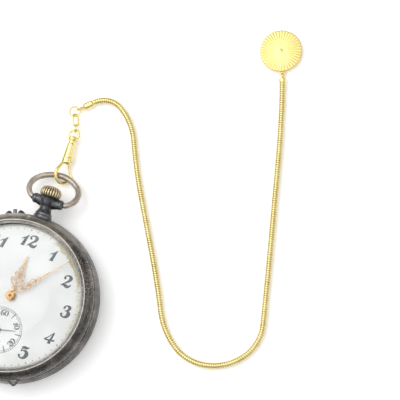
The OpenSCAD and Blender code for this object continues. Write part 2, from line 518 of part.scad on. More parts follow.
disc_p = let (p = pose(N)) [p[0] + 2.9 * cos(p[2]) + 0.62 * cos(112) + 6.9 * cos(112), p[1] + 2.9 * sin(p[2]) + 0.62 * sin(112) + 6.9 * sin(112), 0.35];
module lapel_disc() color(gilt) translate(disc_p) {
  rotate_extrude($fn = 96) polygon([[0, 0], [disc_r - 0.5, 0], [disc_r, 0.25], [disc_r, disc_t - 0.35], [disc_r - 0.25, disc_t], [disc_r - 0.7, disc_t], [disc_r - 0.8, disc_t - 0.12], [1.9, disc_t - 0.02], [1.8, disc_t + 0.12], [0.35, disc_t + 0.15], [0.3, disc_t + 0.4], [0, disc_t + 0.45]]);
  rotate([0, 0, -68]) translate([6.9, 0, 0.6]) ring(0.55, 0.25);
}

case_middle();
pendant();
bezel();
crystal();
back_cover();
cuvette();
hinge_pins();
bow();
bow_screws();
crown();
winding_stem();
winding_pinion();
sliding_pinion();
setting_pin();
setting_lever();
main_plate();
barrel_bridge();
train_bridge();
balance_cock();
pallet_bridge();
bridge_screws();
jewels();
barrel();
barrel_arbor();
mainspring();
ratchet_wheel();
crown_wheel();
click();
centre_wheel();
third_wheel();
fourth_wheel();
escape_wheel();
pallet_fork();
balance_wheel();
hairspring();
regulator();
cannon_pinion();
minute_wheel();
hour_wheel();
dial();
hour_hand();
minute_hand();
seconds_hand();
clasp_body();
clasp_gate();
swivel_eye();
link_small();
link_oval();
jump_ring();
chain_cap_a();
seg(0);  // chain_seg_01
seg(1);  // chain_seg_02
seg(2);  // chain_seg_03
seg(3);  // chain_seg_04
seg(4);  // chain_seg_05
seg(5);  // chain_seg_06
seg(6);  // chain_seg_07
seg(7);  // chain_seg_08
chain_cap_b();
lapel_disc();
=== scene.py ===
import json
import math
import random

import bmesh
import bpy
import numpy as np
from mathutils import Matrix, Vector


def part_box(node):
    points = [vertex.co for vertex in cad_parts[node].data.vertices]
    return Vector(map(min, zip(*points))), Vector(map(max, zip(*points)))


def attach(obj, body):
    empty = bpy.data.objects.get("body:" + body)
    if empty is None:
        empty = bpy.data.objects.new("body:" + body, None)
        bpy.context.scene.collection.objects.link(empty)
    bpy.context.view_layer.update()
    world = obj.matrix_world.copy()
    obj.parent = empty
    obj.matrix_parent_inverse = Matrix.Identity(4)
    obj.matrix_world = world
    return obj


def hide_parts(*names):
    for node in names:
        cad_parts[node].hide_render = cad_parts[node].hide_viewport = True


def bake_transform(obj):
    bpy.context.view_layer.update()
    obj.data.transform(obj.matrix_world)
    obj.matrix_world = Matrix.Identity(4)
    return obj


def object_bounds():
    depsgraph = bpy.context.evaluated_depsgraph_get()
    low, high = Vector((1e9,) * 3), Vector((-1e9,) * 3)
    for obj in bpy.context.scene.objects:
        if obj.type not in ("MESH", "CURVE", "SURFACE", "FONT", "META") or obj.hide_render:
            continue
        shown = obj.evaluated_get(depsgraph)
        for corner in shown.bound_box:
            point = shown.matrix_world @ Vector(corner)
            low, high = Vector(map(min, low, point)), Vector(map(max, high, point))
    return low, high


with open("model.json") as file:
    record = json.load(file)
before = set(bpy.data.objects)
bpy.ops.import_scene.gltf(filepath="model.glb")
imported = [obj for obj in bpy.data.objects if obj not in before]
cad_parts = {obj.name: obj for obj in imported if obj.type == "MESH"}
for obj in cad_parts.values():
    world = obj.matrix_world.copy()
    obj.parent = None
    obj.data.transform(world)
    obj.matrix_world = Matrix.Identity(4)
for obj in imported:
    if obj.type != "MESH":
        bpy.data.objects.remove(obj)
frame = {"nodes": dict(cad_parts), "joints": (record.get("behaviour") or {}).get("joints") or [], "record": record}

CAD_BOX = [list(v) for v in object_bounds()]
random.seed(7)
MM = 0.001
NODES = frame["nodes"]
JOINTS = {j["name"]: j for j in frame["joints"]}

# ------------------------------------------------------------------ mesh help


def rad(a):
    return math.radians(a)


def make(name, verts, faces, mat, body=None, smooth=True, attrs=None, sharp=None):
    """A mesh object from millimetre coordinates."""
    me = bpy.data.meshes.new(name)
    me.from_pydata([(x * MM, y * MM, z * MM) for x, y, z in verts], [], faces)
    me.validate()
    bm = bmesh.new()
    bm.from_mesh(me)
    bmesh.ops.recalc_face_normals(bm, faces=bm.faces)
    bm.to_mesh(me)
    bm.free()
    ob = bpy.data.objects.new(name, me)
    bpy.context.scene.collection.objects.link(ob)
    me.materials.append(mat)
    if attrs:
        for k, vals in attrs.items():
            a = me.attributes.new(k, "FLOAT", "POINT")
            a.data.foreach_set("value", np.array(vals, np.float32))
    if smooth:
        me.shade_smooth()
        if sharp:
            me.set_sharp_from_angle(angle=rad(sharp))
    if body:
        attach(ob, body)
    return ob


def grid_faces(rows, cols, close_cols=True, close_rows=False):
    f = []
    for i in range(rows if close_rows else rows - 1):
        a, b = i * cols, ((i + 1) % rows) * cols
        for j in range(cols if close_cols else cols - 1):
            k = (j + 1) % cols
            f.append((a + j, a + k, b + k, b + j))
    return f


def smooth_profile(pts, n=5, closed=True, t=0.5):
    """Catmull-Rom through the points; t is how round the corners get."""
    out = []
    m = len(pts)
    P = [np.array(p, float) for p in pts]
    last = m if closed else m - 1
    for i in range(last):
        p0 = P[(i - 1) % m] if closed or i > 0 else P[0]
        p1, p2 = P[i], P[(i + 1) % m]
        p3 = P[(i + 2) % m] if closed or i + 2 < m else P[-1]
        for k in range(n):
            u = k / n
            a = t * (p2 - p0)
            b = t * (p3 - p1)
            h = (2 * u**3 - 3 * u**2 + 1) * p1 + (u**3 - 2 * u**2 + u) * a + (-2 * u**3 + 3 * u**2) * p2 + (u**3 - u**2) * b
            out.append(tuple(h))
    if not closed:
        out.append(tuple(P[-1]))
    return out


def round_corners(pts, r=0.08, n=3):
    """Replaces each corner of a closed profile by a short arc."""
    out = []
    m = len(pts)
    for i in range(m):
        p0, p1, p2 = (np.array(pts[(i + k - 1) % m], float) for k in range(3))
        a, b = p0 - p1, p2 - p1
        la, lb = np.linalg.norm(a), np.linalg.norm(b)
        q = min(r, la * 0.4, lb * 0.4)
        s, e = p1 + a / la * q, p1 + b / lb * q
        for k in range(n + 1):
            u = k / n
            out.append(tuple((1 - u) ** 2 * s + 2 * u * (1 - u) * p1 + u * u * e))
    return out


def revolve(profile, seg=192, wob=None):
    """A closed profile of (r, z) turned about Z. wob(angle, r, z) moves points in r."""
    verts = []
    for i in range(seg):
        a = 2 * math.pi * i / seg
        for r, z in profile:
            rr = r + (wob(a, r, z) if wob else 0)
            verts.append((rr * math.cos(a), rr * math.sin(a), z))
    return verts, grid_faces(seg, len(profile), True, True)


def disc_revolve(profile, seg=192):
    """An open profile from the axis out and back to the axis: first and last points have r = 0."""
    inner = profile[1:-1]
    verts = [(0, 0, profile[0][1]), (0, 0, profile[-1][1])]
    n = len(inner)
    for i in range(seg):
        a = 2 * math.pi * i / seg
        verts += [(r * math.cos(a), r * math.sin(a), z) for r, z in inner]
    f = []
    for i in range(seg):
        a, b = 2 + i * n, 2 + ((i + 1) % seg) * n
        f.append((0, b, a))
        for j in range(n - 1):
            f.append((a + j, b + j, b + j + 1, a + j + 1))
        f.append((1, a + n - 1, b + n - 1))
    return verts, f


def join(parts):
    verts, faces = [], []
    for v, f in parts:
        k = len(verts)
        verts += list(v)
        faces += [tuple(i + k for i in q) for q in f]
    return verts, faces


def transform(part, M):
    v, f = part
    return [tuple(M @ Vector(p)) for p in v], f


def cyl(r, p0, p1, seg=28, bev=0.06):
    """A cylinder with eased ends from p0 to p1."""
    p0, p1 = Vector(p0), Vector(p1)
    d = (p1 - p0).normalized()
    L = (p1 - p0).length
    b = min(bev, r * 0.4, L * 0.3)
    prof = [(0, 0), (r - b, 0), (r - b * 0.3, b * 0.3), (r, b), (r, L - b), (r - b * 0.3, L - b * 0.3), (r - b, L), (0, L)]
    v, f = disc_revolve(prof, seg)
    q = Vector((0, 0, 1)).rotation_difference(d).to_matrix().to_4x4()
    return transform((v, f), Matrix.Translation(p0) @ q)


def torus(R, r, M, n=56, m=16):
    v = []
    for i in range(n):
        a = 2 * math.pi * i / n
        for j in range(m):
            b = 2 * math.pi * j / m
            v.append(((R + r * math.cos(b)) * math.cos(a), (R + r * math.cos(b)) * math.sin(a), r * math.sin(b)))
    return transform((v, grid_faces(n, m, True, True)), M)


def loops_mesh(name, groups, z, h, bevel, mat, body, fit=None):
    """Flat outlines made solid. groups: lists of closed loops, each list filled even-odd."""
    parts = []
    for gi, loops in enumerate(groups):
        cu = bpy.data.curves.new("tmp", "CURVE")
        cu.dimensions = "2D"
        cu.fill_mode = "BOTH"
        cu.extrude = max(h / 2 - bevel, 0.001) * MM
        cu.bevel_depth = bevel * MM
        cu.bevel_resolution = 1
        cu.offset = -bevel * MM
        for loop in loops:
            sp = cu.splines.new("POLY")
            sp.points.add(len(loop) - 1)
            for p, q in zip(sp.points, loop):
                p.co = (q[0] * MM, q[1] * MM, 0, 1)
            sp.use_cyclic_u = True
        ob = bpy.data.objects.new("tmp", cu)
        bpy.context.scene.collection.objects.link(ob)
        bpy.context.view_layer.update()
        dg = bpy.context.evaluated_depsgraph_get()
        me = bpy.data.meshes.new_from_object(ob.evaluated_get(dg))
        v = [tuple(c / MM for c in p.co) for p in me.vertices]
        f = [tuple(p.vertices) for p in me.polygons]
        bpy.data.objects.remove(ob)
        bpy.data.curves.remove(cu)
        bpy.data.meshes.remove(me)
        parts.append((v, f))
    verts, faces = join(parts)
    out = []
    for x, y, zz in verts:
        out.append((x, y, z + zz + (fit(x, y) if fit else 0)))
    return make(name, out, faces, mat, body, smooth=True, sharp=40)


heavy = [1.0, 0.0]


def stroke(pts, ws, closed=False, n=6):
    """The outline of a stroke whose width changes along it. pts and ws in millimetres."""
    P = [(p[0], p[1], w * heavy[0] + heavy[1]) for p, w in zip(pts, ws)]
    S = smooth_profile(P, n, closed)
    C = np.array(S)[:, :2]
    W = np.clip(np.array(S)[:, 2], 0.04, None)
    if closed:
        T = np.roll(C, -1, 0) - np.roll(C, 1, 0)
    else:
        T = np.gradient(C, axis=0)
    T /= np.linalg.norm(T, axis=1)[:, None] + 1e-12
    N = np.stack([-T[:, 1], T[:, 0]], 1)
    A, B = C + N * W[:, None] / 2, C - N * W[:, None] / 2
    if closed:
        return [[tuple(p) for p in A], [tuple(p) for p in B]]
    cap = []
    for c, t, nn, w in ((C[-1], T[-1], N[-1], W[-1]), (C[0], -T[0], -N[0], W[0])):
        cap.append([tuple(c + nn * w / 2 * math.cos(a) + t * w / 2 * math.sin(a)) for a in np.linspace(0.35, math.pi - 0.35, 5)])
    return [[tuple(p) for p in A] + cap[0] + [tuple(p) for p in B[::-1]] + cap[1]]


def moved(loops, s=1.0, ang=0.0, dx=0.0, dy=0.0, sx=1.0):
    c, t = math.cos(ang), math.sin(ang)
    return [[(s * (sx * x * c - y * t) + dx, s * (sx * x * t + y * c) + dy) for x, y in lo] for lo in loops]


# ------------------------------------------------------------------ materials


class Mat:
    """A small helper round a node tree. Object coordinates are used, in millimetres."""

    def __init__(self, name):
        self.m = bpy.data.materials.new(name)
        self.m.use_nodes = True
        self.t = self.m.node_tree
        self.t.nodes.clear()
        self.out = self.n("ShaderNodeOutputMaterial")
        self.co = self.n("ShaderNodeTexCoord").outputs["Object"]
        self.mm = self.vec("SCALE", self.co, scale=1000)
        self.xyz = None

    def n(self, kind, **props):
        x = self.t.nodes.new(kind)
        for k, v in props.items():
            setattr(x, k, v)
        return x

    def link(self, a, b):
        self.t.links.new(a, b)

    def val(self, socket, v):
        if hasattr(v, "is_output"):
            self.link(v, socket)
        else:
            socket.default_value = v

    def vec(self, op, a, b=None, scale=None):
        x = self.n("ShaderNodeVectorMath", operation=op)
        self.val(x.inputs[0], a)
        if b is not None:
            self.val(x.inputs[1], b)
        if scale is not None:
            self.val(x.inputs["Scale"], scale)
        return x.outputs[1] if op in ("LENGTH", "DISTANCE", "DOT_PRODUCT") else x.outputs[0]

    def math(self, op, a, b=None, c=None, clamp=False):
        x = self.n("ShaderNodeMath", operation=op)
        x.use_clamp = clamp
        self.val(x.inputs[0], a)
        if b is not None:
            self.val(x.inputs[1], b)
        if c is not None:
            self.val(x.inputs[2], c)
        return x.outputs[0]

    def sep(self):
        if self.xyz is None:
            s = self.n("ShaderNodeSeparateXYZ")
            self.link(self.mm, s.inputs[0])
            self.xyz = s.outputs
        return self.xyz

    def noise(self, scale, detail=3, rough=0.55, vec=None, dist=0.0):
        x = self.n("ShaderNodeTexNoise")
        self.link(vec if vec is not None else self.mm, x.inputs["Vector"])
        x.inputs["Scale"].default_value = scale
        x.inputs["Detail"].default_value = detail
        x.inputs["Roughness"].default_value = rough
        x.inputs["Distortion"].default_value = dist
        return x.outputs["Fac"]

    def ramp(self, v, lo, hi, a=0.0, b=1.0, smooth=True):
        x = self.n("ShaderNodeMapRange")
        x.interpolation_type = "SMOOTHSTEP" if smooth else "LINEAR"
        self.val(x.inputs["Value"], v)
        x.inputs["From Min"].default_value = lo
        x.inputs["From Max"].default_value = hi
        x.inputs["To Min"].default_value = a
        x.inputs["To Max"].default_value = b
        return x.outputs[0]

    def mix(self, fac, a, b):
        x = self.n("ShaderNodeMix", data_type="RGBA")
        self.val(x.inputs["Factor"], fac)
        for s, v in (("A", a), ("B", b)):
            k = [i for i in x.inputs if i.name == s and i.type == "RGBA"][0]
            self.val(k, v if hasattr(v, "is_output") else (*v, 1.0))
        return [o for o in x.outputs if o.type == "RGBA"][0]

    def bump(self, height, strength, dist=0.02, normal=None):
        x = self.n("ShaderNodeBump")
        x.inputs["Strength"].default_value = strength
        x.inputs["Distance"].default_value = dist * MM
        self.link(height, x.inputs["Height"])
        if normal is not None:
            self.link(normal, x.inputs["Normal"])
        return x.outputs[0]

    def bsdf(self, color, rough, metal=1.0, normal=None, **kw):
        x = self.n("ShaderNodeBsdfPrincipled")
        self.val(x.inputs["Base Color"], color if hasattr(color, "is_output") else (*color, 1.0))
        self.val(x.inputs["Roughness"], rough)
        self.val(x.inputs["Metallic"], metal)
        if normal is not None:
            self.link(normal, x.inputs["Normal"])
        for k, v in kw.items():
            self.val(x.inputs[k.replace("_", " ")], v)
        self.link(x.outputs[0], self.out.inputs[0])
        return x


def polar(m):
    """Radius and clock angle (degrees from +Y, clockwise, 0..360) about the case axis."""
    x, y, z = m.sep()
    r = m.math("SQRT", m.math("ADD", m.math("MULTIPLY", x, x), m.math("MULTIPLY", y, y)))
    a = m.math("MULTIPLY", m.math("ARCTAN2", x, y), 180 / math.pi)
    a = m.math("MODULO", m.math("ADD", a, 720.0), 360.0)
    return r, a


def band(m, v, lo, hi, soft):
    """1 inside lo..hi, with soft edges."""
    return m.math("MULTIPLY", m.ramp(v, lo - soft, lo + soft), m.ramp(v, hi - soft, hi + soft, 1.0, 0.0))


def worn_metal(name, dark, mid, light, rough=(0.28, 0.5), scratch=0.5, pits=0.5, scale=1.0, ring=False, patina=(0.42, 0.62), bump=0.35, masks=None):
    """Old metal: a dark base, blotches, a lighter worn-through colour, hairline scratches and pits."""
    m = Mat(name)
    big = m.noise(0.16 * scale, 5, 0.6)
    midn = m.noise(0.9 * scale, 4, 0.6)
    fine = m.noise(6.0 * scale, 3, 0.6)
    c = m.mix(m.ramp(big, 0.35, 0.68), dark, mid)
    wear = m.math("ADD", m.math("MULTIPLY", big, 0.55), m.math("MULTIPLY", midn, 0.45))
    wear = m.ramp(wear, patina[0] + 0.1, patina[1] + 0.1)
    if masks:
        wear = masks(m, wear)
    c = m.mix(m.math("MULTIPLY", wear, 0.85), c, light)
    # hairlines: noise drawn out along one direction
    if ring:
        r, a = polar(m)
        x, y, z = m.sep()
        cv = m.n("ShaderNodeCombineXYZ")
        m.link(m.math("MULTIPLY", r, 9.0), cv.inputs[0])
        m.link(m.math("MULTIPLY", a, 0.06), cv.inputs[1])
        m.link(m.math("MULTIPLY", z, 9.0), cv.inputs[2])
        hv = cv.outputs[0]
    else:
        mp = m.n("ShaderNodeMapping")
        m.link(m.mm, mp.inputs["Vector"])
        mp.inputs["Rotation"].default_value = (0.3, 0.9, 0.7)
        mp.inputs["Scale"].default_value = (9.0, 0.5, 5.0)
        hv = mp.outputs[0]
    hair = m.noise(0.8 * scale, 2, 0.6, vec=hv)
    hair_m = m.ramp(hair, 0.60, 0.66)
    mp2 = m.n("ShaderNodeMapping")
    m.link(m.mm, mp2.inputs["Vector"])
    mp2.inputs["Rotation"].default_value = (0.5, 0.2, -0.8)
    mp2.inputs["Scale"].default_value = (4.5, 0.35, 4.5)
    cross = m.noise(1.0 * scale, 2, 0.6, vec=mp2.outputs[0])
    cross_m = m.ramp(cross, 0.66, 0.70)
    sc = m.math("MAXIMUM", m.math("MULTIPLY", hair_m, 0.5), cross_m)
    sc = m.math("MULTIPLY", sc, scratch, clamp=True)
    c = m.mix(sc, c, tuple(min(1.0, v * 1.25 + 0.05) for v in light))
    vor = m.n("ShaderNodeTexVoronoi")
    m.link(m.mm, vor.inputs["Vector"])
    vor.inputs["Scale"].default_value = 1.5 * scale
    pit = m.ramp(vor.outputs["Distance"], 0.06, 0.17, 1.0, 0.0)
    pit = m.math("MULTIPLY", m.math("MULTIPLY", pit, m.ramp(midn, 0.45, 0.6)), pits, clamp=True)
    c = m.mix(pit, c, tuple(v * 0.35 for v in dark))
    ro = m.math("ADD", m.ramp(midn, 0.3, 0.7, rough[0], rough[1]), m.math("MULTIPLY", m.math("ADD", sc, pit), 0.18), clamp=True)
    h = m.math("SUBTRACT", m.math("ADD", m.math("MULTIPLY", midn, 0.8), m.math("MULTIPLY", fine, 0.12)), m.math("ADD", m.math("MULTIPLY", sc, 0.25), m.math("MULTIPLY", pit, 0.6)))
    if getattr(m, "eye", None) is not None:  # the bow's ends keep the dark finish of the pendant
        c = m.mix(m.math("MULTIPLY", m.eye, 0.94), c, m.mix(m.ramp(midn, 0.35, 0.65), (0.07, 0.075, 0.085), (0.17, 0.175, 0.19)))
    m.bsdf(c, ro, 1.0, m.bump(h, bump, 0.06))
    return m.m


def bezel_masks(m, wear):
    r, a = polar(m)
    x, y, z = m.sep()
    n = m.noise(0.55, 4, 0.65)
    n2 = m.noise(2.2, 4, 0.6)
    top = m.math("MAXIMUM", band(m, a, 300, 361, 28), band(m, a, -1, 28, 20))  # pale, brown-grey arc by the pendant
    rub = m.math("MULTIPLY", band(m, a, 38, 72, 9), m.ramp(n2, 0.50, 0.62))  # flaked patch above two o'clock
    rub2 = m.math("MULTIPLY", band(m, a, 118, 168, 12), m.ramp(n2, 0.54, 0.66))
    nail = m.math("MULTIPLY", band(m, a, 352.2, 355.2, 0.8), band(m, z, 10.6, 11.9, 0.3))
    lip = m.math("MULTIPLY", band(m, m.math("ADD", r, m.math("MULTIPLY", n, 0.12)), 21.98, 22.28, 0.05), 0.85)  # painted highlight: a light ring on the polished inner lip, in the worn colour
    rim = m.math("MULTIPLY", band(m, r, 24.28, 24.42, 0.06), m.ramp(n2, 0.4, 0.6))
    w = m.math("MULTIPLY", wear, 0.45)
    w = m.math("ADD", w, m.math("MULTIPLY", top, m.ramp(n, 0.3, 0.6, 0.45, 0.8)))
    for k, g in ((rub, 0.75), (rub2, 0.45), (nail, 1.0), (lip, 0.8), (rim, 0.6)):
        w = m.math("MAXIMUM", w, m.math("MULTIPLY", k, g))
    return m.math("MULTIPLY", m.math("MINIMUM", w, 1.0), m.ramp(r, 21.86, 21.96, 0.35, 1.0))


def case_masks(m, wear):
    r, a = polar(m)
    x, y, z = m.sep()
    n2 = m.noise(1.6, 4, 0.6)
    e = m.math("MAXIMUM", band(m, z, 8.55, 9.0, 0.12), band(m, z, 3.25, 3.9, 0.15))
    e = m.math("MULTIPLY", e, m.ramp(n2, 0.42, 0.6))
    return m.math("MAXIMUM", m.math("MULTIPLY", wear, 0.7), m.math("MULTIPLY", e, 0.7))


DARK, MID, LIGHT = (0.055, 0.054, 0.055), (0.16, 0.15, 0.145), (0.46, 0.42, 0.36)
M_BEZEL = worn_metal("bezel_gunmetal", DARK, MID, LIGHT, (0.24, 0.46), 0.55, 0.7, ring=True, masks=bezel_masks)
M_CASE = worn_metal("case_gunmetal", DARK, MID, LIGHT, (0.26, 0.48), 0.6, 0.6, ring=True, masks=case_masks)
M_BACK = worn_metal("back_gunmetal", (0.07, 0.068, 0.066), (0.2, 0.19, 0.18), LIGHT, (0.22, 0.42), 0.85, 0.5, patina=(0.44, 0.66))
M_PENDANT = worn_metal("pendant_gunmetal", (0.06, 0.063, 0.07), (0.17, 0.175, 0.185), (0.42, 0.40, 0.36), (0.28, 0.5), 0.5, 0.8, scale=1.4, patina=(0.40, 0.6))
def bow_masks(m, wear):
    x, y, z = m.sep()
    dy, dz = m.math("SUBTRACT", y, 29.7), m.math("SUBTRACT", z, 6.4)
    d = m.math("SQRT", m.math("ADD", m.math("MULTIPLY", dy, dy), m.math("MULTIPLY", dz, dz)))
    n = m.noise(2.0, 3, 0.6)
    near = m.ramp(d, 1.65, 1.95, 1.0, 0.0)
    m.eye = m.math("MULTIPLY", near, m.ramp(m.math("ADD", m.math("ABSOLUTE", x), m.math("MULTIPLY", n, 0.5)), 5.0, 5.35, 1.0, 0.0))
    return wear


M_BOW = worn_metal("bow_worn_nickel", (0.36, 0.315, 0.27), (0.55, 0.485, 0.42), (0.74, 0.65, 0.55), (0.36, 0.52), 0.5, 0.45, scale=1.2, patina=(0.38, 0.6), bump=0.25, masks=bow_masks)
M_STEEL = worn_metal("polished_steel", (0.40, 0.41, 0.43), (0.55, 0.56, 0.58), (0.75, 0.76, 0.78), (0.16, 0.3), 0.35, 0.2, scale=1.6, bump=0.12)
M_BLUED = worn_metal("blued_steel", (0.02, 0.035, 0.16), (0.05, 0.08, 0.30), (0.22, 0.22, 0.42), (0.18, 0.3), 0.25, 0.15, scale=2.0, bump=0.1)
M_DARKHAND = worn_metal("dark_hand_steel", (0.05, 0.05, 0.06), (0.1, 0.1, 0.12), (0.25, 0.25, 0.28), (0.3, 0.45), 0.3, 0.2, scale=2.5, bump=0.1)


def gold(name, deep, mid, pale, rough=(0.14, 0.3), groove_shade=False, scale=1.0, bump=0.1, scratch=0.3):
    m = Mat(name)
    big = m.noise(0.35 * scale, 4, 0.55)
    fine = m.noise(5.0 * scale, 3, 0.6)
    mp = m.n("ShaderNodeMapping")
    m.link(m.mm, mp.inputs["Vector"])
    mp.inputs["Rotation"].default_value = (0.4, 0.7, 1.1)
    mp.inputs["Scale"].default_value = (7.0, 0.6, 5.0)
    hair = m.ramp(m.noise(1.1 * scale, 2, 0.6, vec=mp.outputs[0]), 0.62, 0.68)
    c = m.mix(m.ramp(big, 0.35, 0.65), mid, pale)
    c = m.mix(m.math("MULTIPLY", m.ramp(fine, 0.55, 0.72), 0.35), c, deep)
    c = m.mix(m.math("MULTIPLY", hair, scratch), c, tuple(min(1, v * 1.1) for v in pale))
    ro = m.ramp(m.math("ADD", m.math("MULTIPLY", big, 0.6), m.math("MULTIPLY", fine, 0.4)), 0.35, 0.65, rough[0], rough[1])
    # painted shade: the attribute read here darkens gaps, valleys and flutes where shade falls
    if groove_shade:
        at = m.n("ShaderNodeAttribute", attribute_name="groove_shade")
        g = m.ramp(at.outputs["Fac"], 0.15, 0.85)
        c = m.mix(g, c, tuple(v * 0.28 for v in deep))
        ro = m.math("ADD", ro, m.math("MULTIPLY", g, 0.25), clamp=True)
    h = m.math("ADD", m.math("MULTIPLY", big, 0.5), m.math("ADD", m.math("MULTIPLY", fine, 0.2), m.math("MULTIPLY", hair, -0.15)))
    m.bsdf(c, ro, 1.0, m.bump(h, bump, 0.05))
    return m.m


M_GOLD = gold("plated_gold", (0.56, 0.41, 0.12), (0.86, 0.70, 0.27), (0.93, 0.80, 0.38), (0.2, 0.36))
M_CHAIN = gold("chain_gold", (0.56, 0.39, 0.13), (0.89, 0.73, 0.31), (0.96, 0.83, 0.43), (0.2, 0.36), groove_shade=True)
M_DISC = gold("disc_gold", (0.66, 0.50, 0.17), (0.80, 0.645, 0.24), (0.86, 0.72, 0.31), (0.36, 0.5), groove_shade=True)
M_HAND = gold("hand_gilt", (0.20, 0.10, 0.03), (0.40, 0.21, 0.07), (0.62, 0.37, 0.15), (0.24, 0.42), scale=1.8, bump=0.15)
M_GILT = gold("movement_gilt", (0.62, 0.45, 0.18), (0.83, 0.66, 0.34), (0.93, 0.80, 0.52), (0.2, 0.38), scale=1.4)


def plate_finish():
    """Frosted gilt bridges with straight stripes."""
    m = Mat("striped_gilt_plate")
    x, y, z = m.sep()
    d = m.math("ADD", m.math("MULTIPLY", x, 0.64), m.math("MULTIPLY", y, 0.77))
    st = m.math("ABSOLUTE", m.math("SINE", m.math("MULTIPLY", d, math.pi / 1.5)))
    gr = m.noise(9.0, 3, 0.6)
    big = m.noise(0.4, 4, 0.6)
    c = m.mix(m.ramp(big, 0.35, 0.65), (0.66, 0.50, 0.24), (0.82, 0.68, 0.40))
    c = m.mix(m.math("MULTIPLY", m.ramp(st, 0.0, 0.35, 1.0, 0.0), 0.4), c, (0.5, 0.36, 0.16))
    ro = m.math("ADD", m.ramp(gr, 0.3, 0.7, 0.26, 0.42), m.math("MULTIPLY", st, 0.06))
    m.bsdf(c, ro, 1.0, m.bump(m.math("ADD", m.math("MULTIPLY", st, 0.8), m.math("MULTIPLY", gr, 0.25)), 0.3, 0.05))
    return m.m


M_PLATE = plate_finish()


def worn_brass():
    """Crown: yellow brass showing through, painted shade in the flutes: near black by their depth."""
    m = Mat("crown_worn_brass")
    big = m.noise(0.8, 4, 0.6)
    fine = m.noise(5.0, 3, 0.6)
    at = m.n("ShaderNodeAttribute", attribute_name="groove_shade")
    c = m.mix(m.ramp(big, 0.35, 0.65), (0.60, 0.50, 0.31), (0.78, 0.68, 0.44))
    c = m.mix(m.math("MULTIPLY", m.ramp(fine, 0.5, 0.7), 0.4), c, (0.33, 0.28, 0.2))
    g = m.ramp(at.outputs["Fac"], 0.25, 0.8)
    # painted shade: the flutes darkened to near black
    c = m.mix(g, c, (0.045, 0.036, 0.028))
    ro = m.math("ADD", m.ramp(fine, 0.3, 0.7, 0.26, 0.42), m.math("MULTIPLY", g, 0.35), clamp=True)
    m.bsdf(c, ro, 1.0, m.bump(m.math("ADD", big, m.math("MULTIPLY", fine, 0.3)), 0.25, 0.05))
    return m.m


M_CROWN = worn_brass()


def enamel():
    m = Mat("fired_enamel")
    r, a = polar(m)
    x, y, z = m.sep()
    soft = m.noise(0.12, 3, 0.5)
    n = m.noise(0.75, 5, 0.7)
    n2 = m.noise(2.6, 4, 0.65)
    c = m.mix(m.ramp(soft, 0.35, 0.65), (0.79, 0.79, 0.785), (0.86, 0.86, 0.85))
    # small dark specks and a few grey smudges
    vor = m.n("ShaderNodeTexVoronoi")
    m.link(m.mm, vor.inputs["Vector"])
    vor.inputs["Scale"].default_value = 0.42
    sp = m.math("MULTIPLY", m.ramp(vor.outputs["Distance"], 0.035, 0.075, 1.0, 0.0), m.ramp(n, 0.48, 0.56))
    c = m.mix(m.math("MULTIPLY", sp, 0.55), c, (0.36, 0.34, 0.30))
    # brown stain and lost enamel at the edge, from one to two o'clock, fading to three
    rr = m.math("ADD", r, m.math("MULTIPLY", m.math("SUBTRACT", n, 0.5), 3.2))
    st = m.math("MULTIPLY", m.ramp(rr, 19.35, 19.75), band(m, m.math("ADD", a, m.math("MULTIPLY", m.math("SUBTRACT", n2, 0.5), 8.0)), 22, 63, 1.5))
    fade = m.math("MULTIPLY", m.ramp(rr, 18.9, 20.0), band(m, a, 58, 108, 6))
    fade = m.math("MULTIPLY", fade, m.ramp(n2, 0.35, 0.6))
    halo = m.math("MULTIPLY", m.ramp(rr, 18.3, 20.2), band(m, a, 15, 108, 8))
    c = m.mix(m.math("MULTIPLY", halo, 0.45), c, (0.80, 0.78, 0.66))
    c = m.mix(m.math("MULTIPLY", fade, 0.85), c, (0.58, 0.56, 0.43))
    c = m.mix(m.math("MULTIPLY", st, 0.95), c, m.mix(m.ramp(n2, 0.4, 0.6), (0.42, 0.37, 0.24), (0.58, 0.52, 0.38)))
    # painted shade: the dial's sloping edge greyed all round, under the bezel
    rim = m.math("MULTIPLY", m.ramp(r, 20.2, 20.9), 0.5)
    c = m.mix(rim, c, (0.55, 0.53, 0.48))
    dust = m.math("MULTIPLY", m.ramp(rr, 19.9, 21.0), m.ramp(n2, 0.5, 0.62))
    c = m.mix(m.math("MULTIPLY", dust, 0.35), c, (0.42, 0.38, 0.30))
    ro = m.math("ADD", m.ramp(n, 0.3, 0.7, 0.12, 0.22), m.math("MULTIPLY", st, 0.45), clamp=True)
    hgt = m.math("SUBTRACT", m.math("MULTIPLY", soft, 0.6), m.math("MULTIPLY", st, 0.6))
    m.bsdf(c, ro, 0.0, m.bump(hgt, 0.3, 0.06), Specular_IOR_Level=0.35, Coat_Weight=0.15, Coat_Roughness=0.08)
    return m.m


M_ENAMEL = enamel()


def paint(name, a, b, rough=0.4):
    m = Mat(name)
    n = m.noise(3.0, 4, 0.65)
    f = m.noise(14.0, 2, 0.6)
    c = m.mix(m.ramp(n, 0.38, 0.66), a, b)
    m.bsdf(c, m.ramp(f, 0.3, 0.7, rough - 0.08, rough + 0.1), 0.0, m.bump(f, 0.2, 0.01))
    return m.m


M_INK = paint("dial_ink", (0.06, 0.06, 0.07), (0.15, 0.15, 0.165))
M_TRACK = paint("track_ink", (0.09, 0.09, 0.10), (0.2, 0.2, 0.21))
M_DOT = gold("minute_dot_gold", (0.16, 0.13, 0.07), (0.34, 0.28, 0.16), (0.48, 0.40, 0.24), (0.3, 0.5), scale=2.5)


